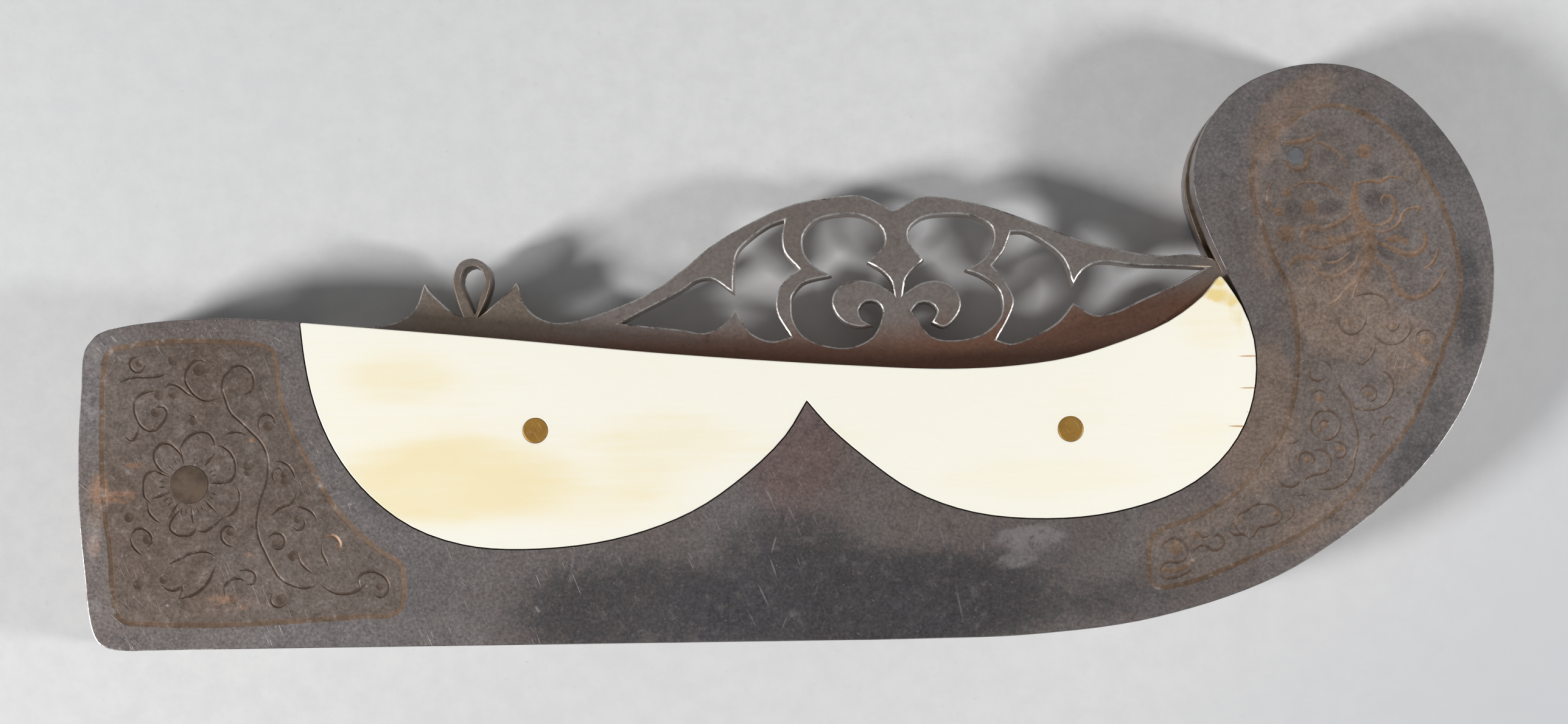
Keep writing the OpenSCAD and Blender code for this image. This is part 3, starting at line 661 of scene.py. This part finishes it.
# %% Lines of the butt's panel
BUTT_BORDER = [
    (38.9, -24.6), (38.7, -22.5), (38.9, -20.6), (39.7, -19.6), (42, -18.7), (44.3, -17.9),
    (46, -16.9), (48, -15.6), (49.5, -14), (51, -12), (52.3, -10.5), (53.3, -9), (54.1, -7),
    (54.6, -5), (54.9, -3), (55.1, 0), (55, 2.5), (54.7, 5), (54.1, 6.9), (53.2, 8.9), (52.5, 10.5),
    (51.8, 13), (51.1, 15.1), (50.8, 17.4), (51, 19.6), (52, 21.4), (53.8, 23.2), (56, 24.8),
    (58, 25.6), (60.3, 25.6), (63, 24.6), (65.3, 23), (67, 21.2), (68.4, 19.2), (69.6, 17),
    (71, 13.6), (71.9, 10), (72.2, 6), (71.6, 3), (70.3, 0), (69.4, -2.5), (68.3, -4.8), (67, -7.3),
    (65.3, -9.8), (63.7, -11.6), (62.3, -13.2), (60, -15.8), (57, -18.3), (53.5, -20.3),
    (50, -21.9), (46, -23.5), (44, -24.3), (41, -25), (39.4, -25.1),
]
BUTT_STROKES = [
    (1.5, [(61.7, 17.6), (61.5, 16.2), (61.4, 14.9), (61.9, 13.5), (62.6, 12.3), (62.9, 11),
     (62.8, 9.6), (62.3, 8.2), (61.5, 7), (60, 5.7)]),
    (0.8, [(61.5, 14.6), (60.5, 13.6), (59.2, 12.9), (57.8, 12.6), (56.6, 12.7), (55.9, 12.2),
     (55.9, 11.5), (56.6, 11.3)]),
    (1, [(62.5, 12.3), (61.2, 11.8), (60, 11.3), (59, 11.3), (58.4, 11.8)]),
    (0.55, [(56.4, 10.9), (57.3, 10.5), (58.3, 10.5), (59.5, 10.9)]),
    (0.8, [(54.2, 8.5), (54.9, 9.3), (55.8, 9.6), (56.8, 9.4), (57.4, 9.3)]),
    (0.6, [(56, 9), (56.9, 8.3), (58, 7.6), (59.2, 7.4), (60.4, 7.9), (61.3, 8.8), (61.9, 10)]),
    (0.4, [(57.8, 9), (59, 8.9), (60, 9.3), (60.9, 10.1)]),
    (0.4, [(54.6, 16.9), (55.8, 17.5), (57.2, 17.6), (58.7, 17.2), (59.9, 16.5), (60.7, 15.6)]),
    (0.55, [(61.8, 14), (62.6, 13.2), (63.6, 12.8), (64.7, 13), (65.5, 13.7), (65.8, 14.7),
     (65.5, 15.6), (64.8, 16), (64.3, 15.6), (64.4, 15)]),
    (0.5, [(62.8, 12.5), (64, 12.1), (65.3, 12.4), (66.2, 13.1), (66.6, 14.1), (67.5, 14.6),
     (68.5, 14.5)]),
    (0.55, [(61.8, 17.3), (63, 17.6), (64.2, 17.5), (65.4, 18), (66.8, 17.6)]),
    (0.7, [(63.1, 11.1), (64.4, 10.7), (65.4, 10.2), (66.5, 9.7), (67.7, 9.7), (68.6, 10.3),
     (68.9, 11.3), (68.4, 12.4)]),
    (0.7, [(63.1, 9.9), (63.9, 8.7), (64.8, 8.2), (65.2, 7), (65.6, 5.9), (66.6, 5.1), (67.9, 5),
     (69.2, 5.7), (70.2, 6.8), (70.9, 8.1)]),
    (1, [(64.6, 11.2), (65.8, 11.3), (67, 10.9)]),
    (0.35, [(52.9, 17.9), (52.3, 16.6), (52.3, 15.2), (52.9, 14.4)]),
    (0.6, [(54, 20.2), (54.7, 19.3), (55.6, 19), (56.4, 19.4), (56.8, 20.3), (56.7, 21.4)]),
    (0.65, [(53.8, 22), (55.1, 21.9), (56.2, 22.1), (57.2, 22.4), (58.2, 23.1)]),
    (0.4, [(57.3, 22.1), (58.6, 21.6), (59.6, 20.9), (60.3, 20.1), (60.8, 19.2)]),
    (0.7, [(39.9, -23.4), (40.8, -23.6), (41.9, -23.4), (42.8, -22.8), (43.6, -22.3)]),
    (0.9, [(66.9, -0.4), (67.8, -1.4), (68.9, -2.2)]),
    (0.45, [(60, 5.9), (59.4, 5), (58.4, 4.4)]),
    (0.45, [(61.9, 7.6), (61.3, 6.2), (60.9, 5)]),
    (0.5, [(70.2, 10.2), (69.6, 8.8), (68.6, 8)]),
]
BUTT_CUTS = [
    [(59.7, 3.4), (59.3, 2.6), (59.7, 1.7), (60.5, 1.2), (61.4, 1.5), (62.1, 2.4), (62.3, 3.6)],
    [(60.8, 5.1), (62.2, 5.5), (63.8, 5.3), (64.6, 4.4), (64.4, 3.5)],
    [(63, 2.6), (63.1, 1.2), (63.9, 0.3), (65.2, 0.1), (66.3, 0.7), (66.9, 1.8), (66.6, 2.9)],
    [(64.2, 2.1), (64.9, 1.5), (65.6, 2), (65.4, 2.7)],
    [(67.3, 0.2), (67.6, 1.2), (68.6, 1.5), (69.4, 0.9), (69.3, -0.1)],
    [(63.2, 0.6), (62.9, -0.7), (62.2, -1.6), (61.4, -2), (60.9, -1.2)],
    [(60.1, -5.4), (60.6, -6.5), (61.9, -6.9), (63.4, -6.6), (64.5, -5.6), (64.8, -4.2), (64.2, -3),
     (63.1, -2.7)],
    [(61.2, -5.2), (61.6, -4.5), (62.5, -4.4), (63, -5.1), (62.6, -5.9), (61.9, -5.9)],
    [(58.6, -3), (59.3, -4.7), (60.1, -6), (60.4, -7.5), (60.8, -9), (60.9, -10.5), (60.5, -12),
     (60.3, -13.2), (59.4, -14.5), (57.8, -15.2), (56.3, -15.2)],
    [(56.9, -9.9), (56.2, -9.2), (56, -8.2), (56.6, -7.2), (57.6, -6.9), (58.7, -7.3), (59.1, -8.3),
     (58.7, -9.4), (57.8, -10), (57.2, -10)],
    [(56.8, -8.6), (57.1, -8), (57.8, -8.1), (57.9, -8.7)],
    [(58.3, -10.3), (59.1, -10.3), (59.6, -10.9), (59.4, -11.7), (58.7, -11.9), (58.3, -11.4)],
    [(56.2, -11.1), (57.2, -11.1), (57.9, -11.8), (57.9, -12.8), (57.2, -13.5), (56.2, -13.7),
     (55.3, -14.1), (55.1, -14.9)],
    [(54.9, -12.9), (54.6, -12), (55.1, -11.3), (55.9, -11.5), (56.2, -12.2), (55.7, -12.7)],
    [(53.5, -11.6), (53.6, -12.8), (54.3, -13.6)],
    [(52.2, -13.5), (52.6, -14.5), (53.5, -14.9), (54.4, -14.6), (54.7, -13.9)],
    [(53.4, -10.4), (54.3, -10.2), (54.9, -9.7)],
    [(53.5, -16.4), (53.9, -17.3), (53.6, -18.1), (52.9, -18.7)],
    [(54.3, -15.9), (55.2, -15.9), (55.6, -16.8)],
    [(48.2, -18.7), (48, -17.9), (48.9, -17.4), (49.8, -16.8), (51.1, -16.7), (52.1, -17.1),
     (52.6, -17.9), (52.2, -18.6), (51.3, -19), (50.2, -19.2), (49.6, -20), (49, -20.6)],
    [(46.9, -19.4), (47.6, -19.9), (48.6, -19.9), (49.2, -20.5)],
    [(47.4, -18.6), (47.8, -19.2), (48.3, -19.8)],
    [(39.7, -21.6), (40.2, -20.6), (41.4, -20.2), (42.4, -20.9), (42.5, -22), (41.7, -22.7),
     (40.4, -22.7), (39.7, -23.4), (39.9, -24.2), (41, -24.3), (42.3, -23.9), (43.4, -23.2)],
    [(43, -22), (43.5, -21.2), (44.5, -21), (45.3, -21.5), (46.2, -21.2), (46.4, -20.4),
     (45.8, -19.9), (45.2, -20.3)],
    [(43.6, -19.5), (44.3, -20.1), (45.1, -19.9)],
    [(56.2, -2.2), (56.1, -3.2), (57, -3.7), (58, -3.2)],
    [(56.1, -5.3), (56.9, -4.7), (57.8, -5.1)],
    [(58.5, -2.9), (58.1, -1.9), (57.2, -1.5)],
    [(65.2, -8.2), (64.3, -7.7), (63.6, -8.3), (64, -9.1)],
    [(62, -10.6), (62.4, -9.6), (63.3, -9.7)],
]
BUTT_DOTS = [
    (62.7, 20.8, 0.8), (56.8, 14.9, 0.85), (54.1, 12.1, 0.95), (54.3, 16.5, 0.5), (53.4, 14.5, 0.5),
    (57.2, 9.5, 0.4), (68.3, 14.5, 0.35), (60.4, 2.6, 0.4), (65, 1.9, 0.4), (68.4, 0.5, 0.6),
    (62.2, -5.2, 0.4), (57.5, -8.4, 0.4), (59, -11, 0.4), (55.5, -12.1, 0.35), (57, -5.6, 0.5),
    (41.4, -21.2, 0.75), (40.1, -23.5, 0.4), (43.5, -19.8, 0.45), (48, -18.5, 0.4),
    (52.1, -17.8, 0.3), (57, -9, 0.25),
]
print("butt cuts", len(BUTT_CUTS), "strokes", len(BUTT_STROKES), "dots", len(BUTT_DOTS))

# %% [markdown]
# Each cut could be made by itself, but every Boolean rebuilds the whole plate. So the cutters are
# gathered in a collection and taken away at once, which also carries their finish over to the
# faces that they leave.

# %% A collection of cutters
cutters = bpy.data.collections.new("cutters")
bpy.context.scene.collection.children.link(cutters)


def keep_cutter(tool, finish):
    tool.data.materials.clear()
    tool.data.materials.append(finish)
    for home in list(tool.users_collection):
        home.objects.unlink(tool)
    cutters.objects.link(tool)


def engrave(piece):
    """Take all cutters away from the piece and say how many there were."""
    pick(piece)
    cut = piece.modifiers.new("engraving", "BOOLEAN")
    cut.solver = "MANIFOLD"
    cut.operation = "DIFFERENCE"
    cut.material_mode = "TRANSFER"
    cut.operand_type = "COLLECTION"
    cut.collection = cutters
    bpy.ops.object.modifier_apply(modifier="engraving")
    used = len(cutters.objects)
    for tool in list(cutters.objects):
        bpy.data.objects.remove(tool)
    return used


print("cutters can be kept")

# %% [markdown]
# A line gets a rod, a punch mark a cone, and a panel, whose floor lies a hair below the plate, a
# thin prism. Rods and prisms start as Bezier curves, because a graver moves in smooth bends and
# a polyline would need many more points to look as round.

# %% Tools of the engraver
CLOSER = 1e-7
PROUD = 0.01  # how far a rod's middle stands above the face
STROKE_START, STROKE_END, FULLNESS = 0.3, 0.2, 0.7
BEYOND = 0.3  # share of a step that a swelling stroke is taken to go on past its ends
BEND_STEPS, LINE_STEPS = 3, 4
PANEL_HALF = 0.2
PUNCH_SIDES = 14
PUNCH_SPARE = 1.1  # the cone goes on a little above the face
PUNCH_MIDDLE = 0.45


def along_z(height, share):
    """Scale by share along Z, then lift by height."""
    return Matrix.Translation((0, 0, height * MM)) @ Matrix.Diagonal((1, 1, share, 1))


def smooth_line(points, closed, kind="3D"):
    bpy.ops.object.select_all(action="DESELECT")
    bpy.ops.curve.primitive_bezier_curve_add()
    drawn = bpy.context.object
    curve = drawn.data
    curve.dimensions = kind
    curve.splines.clear()
    line = curve.splines.new("BEZIER")
    line.bezier_points.add(len(points) - 1)
    line.use_cyclic_u = closed
    for knot, (x, y) in zip(line.bezier_points, points):
        knot.co = (x * MM, y * MM, 0)
        knot.handle_left_type = knot.handle_right_type = "AUTO"
    return drawn, line.bezier_points


def settle(drawn, height, flatten=1.0):
    """Turn a curve into a closed mesh that faces outward, at its height in the plate."""
    pick(drawn)
    bpy.ops.object.convert(target="MESH")
    on_whole_mesh(
        (bpy.ops.mesh.remove_doubles, {"threshold": CLOSER}),
        (bpy.ops.mesh.normals_make_consistent, {"inside": False}),
    )
    tool = bpy.context.object
    tool.data.transform(along_z(height, flatten))
    return tool


def groove(points, size, surface, finish, closed=False, swell=False):
    width, depth = size
    drawn, knots = smooth_line(points, closed)
    drawn.data.bevel_depth = width / 2 * MM
    drawn.data.bevel_resolution = 0
    drawn.data.resolution_u = BEND_STEPS if closed else LINE_STEPS
    drawn.data.use_fill_caps = True
    if swell:
        span = len(points) - 1 + 2 * BEYOND
        for number, knot in enumerate(knots):
            belly = math.sin(math.pi * (number + BEYOND) / span) ** FULLNESS
            knot.radius = STROKE_START + (1 - STROKE_START) * belly
    elif not closed:
        knots[0].radius = STROKE_START
        knots[-1].radius = STROKE_END
    keep_cutter(settle(drawn, surface + PROUD, depth / (width / 2)), finish)


def punch(x, y, radius, depth, surface, finish):
    bpy.ops.mesh.primitive_cone_add(
        vertices=PUNCH_SIDES,
        radius1=0.0,
        radius2=radius * PUNCH_SPARE * MM,
        depth=depth * PUNCH_SPARE * MM,
        location=(x * MM, y * MM, (surface - depth * PUNCH_MIDDLE) * MM),
    )
    tool = bpy.context.object
    bpy.ops.object.transform_apply(location=True, rotation=True, scale=True)
    keep_cutter(tool, finish)


def panel(points, floor, finish):
    drawn, _ = smooth_line(points, True, "2D")
    drawn.data.fill_mode = "BOTH"
    drawn.data.extrude = PANEL_HALF * MM
    drawn.data.resolution_u = BEND_STEPS
    keep_cutter(settle(drawn, floor + PANEL_HALF), finish)


print("engraver's tools ready")

# %% [markdown]
# A bevel can take its edges by angle or by weight. By weight it takes only the named ones: the
# upright edges between two facets of the outline, and the rims between a flat side and a wall.
# Wide faces next to tiny ones shade badly if they are smooth, so level and broad ones are flat.

# %% Bevels by weight
WEIGHT = "bevel_weight_edge"
SMOOTH_TURN = math.radians(40)
LEVEL = 0.96  # cosine above which a face counts as level
BROAD = 2e-6  # square metres
SHARPEST = 46  # degrees, beyond which a corner of the outline is meant
TALL = 1.0
ROOM = 2.1  # least breadth of both walls, in bevel widths
UPRIGHT = 0.2  # largest cosine between a flat side and a wall


def shade(piece):
    pick(piece)
    bpy.ops.object.shade_smooth_by_angle(angle=SMOOTH_TURN)
    for face in piece.data.polygons:
        if abs(face.normal.z) > LEVEL or face.area > BROAD:
            face.use_smooth = False


def bevel(piece, width, segments, **settings):
    pick(piece)
    rim = piece.modifiers.new("rim", "BEVEL")
    rim.width = width * MM
    rim.segments = segments
    for name, value in settings.items():
        setattr(rim, name, value)
    bpy.ops.object.modifier_apply(modifier="rim")


def by_weight(piece, edges, width, segments, clamp=True, slot=-1):
    """Bevel the numbered edges and give the new faces the finish in that slot."""
    weights = piece.data.attributes.new(WEIGHT, "FLOAT", "EDGE")
    for number in edges:
        weights.data[number].value = 1.0
    bevel(
        piece, width, segments, limit_method="WEIGHT", use_clamp_overlap=clamp, material=slot
    )
    left = piece.data.attributes.get(WEIGHT)
    if left:
        piece.data.attributes.remove(left)
    return len(edges)


def edges_of_two(mesh):
    """Each edge between exactly two faces: its number, its ends and the faces."""
    sides = {}
    for face in mesh.polygons:
        for key in face.edge_keys:
            sides.setdefault(key, []).append(face)
    for edge in mesh.edges:
        faces = sides[tuple(sorted(edge.vertices))]
        if len(faces) == 2:
            yield edge.index, *(mesh.vertices[v].co for v in edge.vertices), faces


def round_corners(piece, width, least=11):
    """Round the upright edges where two walls meet at a slight corner and leave it room."""
    chosen = []
    for number, a, b, walls in edges_of_two(piece.data):
        if (a.xy - b.xy).length > SAME_PLACE or abs(a.z - b.z) < TALL * MM:
            continue
        if not least < math.degrees(walls[0].normal.angle(walls[1].normal)) < SHARPEST:
            continue
        spans = []
        for wall in walls:
            corners = [piece.data.vertices[v].co for v in wall.vertices]
            spans.append(max((c.xy - a.xy).length for c in corners))
        if min(spans) > ROOM * width * MM:
            chosen.append(number)
    return by_weight(piece, chosen, width, segments=4)


def level_rims(piece, node, leave_out):
    """The edges between a flat side and an upright wall, but for those that leave_out names."""
    flats = [corner.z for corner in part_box(node)]
    chosen = []
    for number, a, b, (one, other) in edges_of_two(piece.data):
        level = abs(a.z - b.z) < SAME_PLACE and min(abs(a.z - z) for z in flats) < SAME_PLACE
        if level and abs(one.normal.dot(other.normal)) < UPRIGHT and not leave_out((a + b) / 2):
            chosen.append(number)
    return chosen


print("bevels ready")

# %% [markdown]
# The front plate is bolster, keel and curled butt in one. Its rims come before its engraving,
# because a bevel would round the cuts too. Next to the ivory and round the pins' heads the steel
# lies flush and nothing rubs it, so those rims stay sharp.

# %% The front plate's rims
RIM = 1
BESIDE, ROUND_HEAD = 0.8, 0.3
pin_heads = []
for node in ("pivot_pin", "butt_rivet_upper"):
    low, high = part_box(node)
    pin_heads.append(((low + high).xy / 2, (high - low).x / 2))


def beside_inlay(point):
    if any((point.xy - middle).length < radius + ROUND_HEAD * MM for middle, radius in pin_heads):
        return True
    found, closest, _, _ = frame["nodes"]["front_scale"].closest_point_on_mesh(point)
    return found and (closest - point).length < BESIDE * MM


front_plate = solid_copy("front_cover", "front_plate")
print("outline corners rounded", round_corners(front_plate, width=0.45))
front_plate.data.materials.append(steel["plate_steel"])
front_plate.data.materials.append(bright_rim)
outer = level_rims(front_plate, "front_cover", beside_inlay)
print("worn rims", by_weight(front_plate, outer, width=0.25, segments=3, slot=RIM))

# %% [markdown]
# The engraver works from large to small: first the two panels, then their borders. Each group
# is taken away before the next is laid in, so a border also cuts into its panel's floor.

# %% Panels and borders
FLOOR, BUTT_FLOOR = TOP - 0.03, TOP - 0.02
BOLSTER_RIM, BUTT_RIM = (1.3, 0.045), (1.25, 0.035)
panel(BOLSTER_BORDER, FLOOR, steel["engraved_ground"])
panel(BUTT_BORDER, BUTT_FLOOR, steel["butt_ground"])
print("panels", engrave(front_plate))
groove(BOLSTER_BORDER, BOLSTER_RIM, TOP, steel["border_brown"], closed=True)
groove(BUTT_BORDER, BUTT_RIM, TOP, steel["border_brown"], closed=True)
print("borders", engrave(front_plate))

# %% [markdown]
# The bolster carries dark scrolls, one rusty hook, punched dots and a flower whose gaps and veins
# are rays round the pivot. Each size is a width and a depth in millimetres.

# %% Cuts of the bolster
SCROLL, HOOK, PETAL_GAP, VEIN = (0.4, 0.11), (0.55, 0.1), (0.42, 0.12), (0.26, 0.07)
DOT_DEPTH, DOT_SPREAD = 0.05, 1.1
BOLSTER_LINES = (
    (BOLSTER_CUTS, SCROLL, "cut_bottom"),
    ([RUSTY_HOOK], HOOK, "rusty_cut"),
    (FLOWER_CUTS, PETAL_GAP, "cut_bottom"),
    (FLOWER_VEINS, VEIN, "cut_bottom"),
)
for lines, size, finish in BOLSTER_LINES:
    for line in lines:
        groove(line, size, FLOOR, steel[finish])
for x, y, radius in BOLSTER_DOTS:
    punch(x, y, radius * DOT_SPREAD, DOT_DEPTH, FLOOR, steel["cut_bottom"])
print("bolster tools", engrave(front_plate))

# %% [markdown]
# The butt's leaf has broad strokes that swell in the middle, and its scrolls are fine and brown.
# A wider stroke was pushed deeper, so the depth follows the width.

# %% Cuts of the butt
BUTT_SCROLL = (0.42, 0.05)
BROADER, SHALLOWEST, DEEPENING = 1.15, 0.035, 0.02
for width, line in BUTT_STROKES:
    size = (width * BROADER, SHALLOWEST + width * DEEPENING)
    groove(line, size, BUTT_FLOOR, steel["rusty_cut"], swell=True)
for x, y, radius in BUTT_DOTS:
    punch(x, y, radius, DOT_DEPTH, BUTT_FLOOR, steel["rusty_cut"])
print("leaf strokes", engrave(front_plate))
for line in BUTT_CUTS:
    groove(line, BUTT_SCROLL, BUTT_FLOOR, steel["butt_line"])
print("butt tools", engrave(front_plate), "faces", len(front_plate.data.polygons))

# %% [markdown]
# The cuts are flat-sided, so only the rounded rim stays smooth. The back plate isn't in the
# photograph and is taken as the front one's mirror image. It could be engraved again, but a
# mirrored copy is quicker. A mirror turns faces inside out, so the normals are worked out again.

# %% Shading and the back plate
def mirrored(piece, name):
    twin = copy_of(piece, name)
    twin.data.transform(along_z(TOP, -1))
    on_whole_mesh((bpy.ops.mesh.normals_make_consistent, {"inside": False}))
    return twin


shade(front_plate)
for face in front_plate.data.polygons:
    if face.material_index > RIM:
        face.use_smooth = False
back_plate = mirrored(front_plate, "back_plate")
for piece, node in ((front_plate, "front_cover"), (back_plate, "back_cover")):
    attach(piece, "handle")
    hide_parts(node)
print("plates", front_plate.name, back_plate.name)

# %% [markdown]
# The ivory was scraped flush with the steel, so its rims are only just eased. Here a bevel by
# angle is enough, because every rim of the slab gets the same ease.

# %% The ivory slabs
def soften(piece, width):
    bevel(piece, width, segments=2, limit_method="ANGLE", angle_limit=SMOOTH_TURN)
    shade(piece)


front_ivory = solid_copy("front_scale", "front_ivory")
front_ivory.data.materials.append(ivory)
soften(front_ivory, width=0.08)
back_ivory = mirrored(front_ivory, "back_ivory")
for piece, node in ((front_ivory, "front_scale"), (back_ivory, "back_scale")):
    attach(piece, "handle")
    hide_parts(node)
print("ivory faces", len(front_ivory.data.polygons))

# %% [markdown]
# What holds the knife together, each with its finish and the width of its eased rim. The heads
# were filed flush, so theirs is the smallest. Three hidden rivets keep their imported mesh.

# %% Pins, liners, spring and spacer
SCALE_PINS = [f"{side}_scale_pin_{end}" for side in ("front", "back") for end in ("left", "right")]
SOFT_PIECES = [(node, brass, 0.1, "brass_pin") for node in SCALE_PINS]
SOFT_PIECES += [
    ("pivot_pin", pivot_brown, 0.06, "rivet_steel"),
    ("butt_rivet_upper", rivet_grey, 0.04, "rivet_steel"),
    ("front_liner", liner_steel, 0.08, "liner_steel"),
    ("back_liner", liner_steel, 0.08, "liner_steel"),
    ("back_spring", spring_steel, 0.1, "spring_steel"),
    ("butt_spacer", spring_steel, 0.1, "spring_steel"),
]
for node, finish, width, slot in SOFT_PIECES:
    piece = solid_copy(node, node + "_finished")
    soften(piece, width)
    piece.data.materials.append(finish)
    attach(piece, "handle")
    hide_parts(node)
for node in ("spring_rivet_middle", "spring_rivet_rear", "butt_rivet_lower"):
    frame["nodes"][node].material_slots[0].material = spring_steel
print("softened", len(SOFT_PIECES), "pieces")

# %% [markdown]
# ## Blade
# The crest was sawn and filed out of the blade's back, and its eased rims catch the light. A
# bevel by angle would also blunt the ground edge, so the rims are named here too. The loop's
# seat stays sharp, because the loop fits into it closely.

# %% The blade with its pierced crest
SEAT = ((-34.9, 3.7), (-33.1, 5.06))


def in_seat(point):
    (left, low), (right, high) = SEAT
    return left < point.x / MM < right and low < point.y / MM < high


blade = solid_copy("blade", "blade_finished")
print("crest corners rounded", round_corners(blade, width=0.3, least=4))
blade.data.materials.append(blade_steel)
blade.data.materials.append(crest_rim)
rims = level_rims(blade, "blade", in_seat)
print("blade rims", by_weight(blade, rims, width=0.2, segments=2, clamp=False, slot=RIM))
shade(blade)

# %% [markdown]
# The loop is a bent strip, wider than the blade, which a finger can lift. Fingers rounded it, so
# its bevel is wider than the crest's.

# %% The lifting loop
loop = solid_copy("lifting_loop", "loop_finished")
print("loop corners rounded", round_corners(loop, width=0.3))
loop.data.materials.append(blade_steel)
rims = level_rims(loop, "lifting_loop", in_seat)
print("loop rims", by_weight(loop, rims, width=0.3, segments=3))
shade(loop)
for piece, node in ((blade, "blade"), (loop, "lifting_loop")):
    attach(piece, "blade")
    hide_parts(node)
print("blade faces", len(blade.data.polygons), "loop faces", len(loop.data.polygons))

# %% [markdown]
# The knife lies on a pale, faintly mottled board. Its colour darkens towards one corner, a painted
# shade where less light falls. Only its top shows, so a plane is enough.

# %% Table
HAIR = 0.02


def board_finish():
    material, shader, mm = finish_named("pale_board", Specular_IOR_Level=0.2)
    broad = mm.noise(0.012, 2.0, 0.5)
    mottle = mm.noise(0.35, 4.0, 0.65)
    fleck = mm.noise(1.4, 2.0, 0.6)
    colour = mottle.limit(0.3, 0.7).colours((0.70, 0.70, 0.70), (0.66, 0.66, 0.665))
    colour = colour.mix((0.64, 0.645, 0.655), broad.limit(0.4, 0.7) * 0.3)
    # Painted shade: the board's colour darkens towards one corner.
    painted_shade_across = mm.vector("DOT_PRODUCT", (0.85, -0.53, 0), out=1)
    colour = colour.mix((0.53, 0.535, 0.55), painted_shade_across.limit(35, 105))
    colour = colour.mix((0.48, 0.47, 0.46), fleck.limit(0.68, 0.8) * 0.3)
    connect(shader, colour, mottle * 0.1 + 0.75, mottle + fleck * 0.3, 0.05, 0.3)
    return material


bpy.ops.object.select_all(action="DESELECT")
bpy.ops.mesh.primitive_plane_add(size=3.0, location=(0, 0, -HAIR * MM))
table = bpy.context.object
table.name = "table"
table.data.materials.append(board_finish())
print("table in place")

# %% [markdown]
# Two soft lamps stand below the knife in the picture, the stronger one to the right, and the
# room fills the rest. They are placed by direction and distance from the butt, which shadows in
# a photograph tell more easily than X, Y and Z.

# %% Lamps and room
BUTT = Vector((0.06, 0.02, 0.0))


def lamp(name, azimuth, elevation, away, size, power):
    turn, rise = math.radians(azimuth), math.radians(elevation)
    flat = math.cos(rise)
    way = Vector((math.cos(turn) * flat, math.sin(turn) * flat, math.sin(rise)))
    bpy.ops.object.light_add(type="AREA", location=BUTT + way * away)
    light = bpy.context.object
    light.name = name
    light.rotation_euler = way.to_track_quat("Z", "Y").to_euler()
    light.data.shape = "DISK"
    light.data.size = size
    light.data.energy = power


lamp("lamp_right", azimuth=-19, elevation=27.5, away=0.34, size=0.06, power=1.0)
lamp("lamp_left", azimuth=201, elevation=26.5, away=0.7, size=0.15, power=4.5)
world = bpy.data.worlds.new("room")
bpy.context.scene.world = world
world.use_nodes = True
room = world.node_tree.nodes["Background"].inputs
room["Color"].default_value = (0.98, 0.99, 1.0, 1)
room["Strength"].default_value = 0.2
bpy.context.scene.view_settings.view_transform = "Standard"
print("lamps and room set")

# %% [markdown]
# The camera looks down from about 26 centimetres and leans a little, so that the curl shows its
# wall. It could be aimed by eye, but matching points along the outline is surer.

# %% Camera
CAMERA_PLACE = (0.007133, -0.020634, 0.2596)
CAMERA_TURN = (4.5296, 1.6611, -0.8934)
camera_data = bpy.data.cameras.new("camera")
camera_data.lens = 53.80
camera_data.sensor_width = 36
camera_data.clip_start = 0.01
camera = bpy.data.objects.new("camera", camera_data)
bpy.context.scene.collection.objects.link(camera)
camera.location = CAMERA_PLACE
camera.rotation_euler = tuple(math.radians(a) for a in CAMERA_TURN)
bpy.context.scene.camera = camera
print("camera at", [round(c, 4) for c in camera.location])
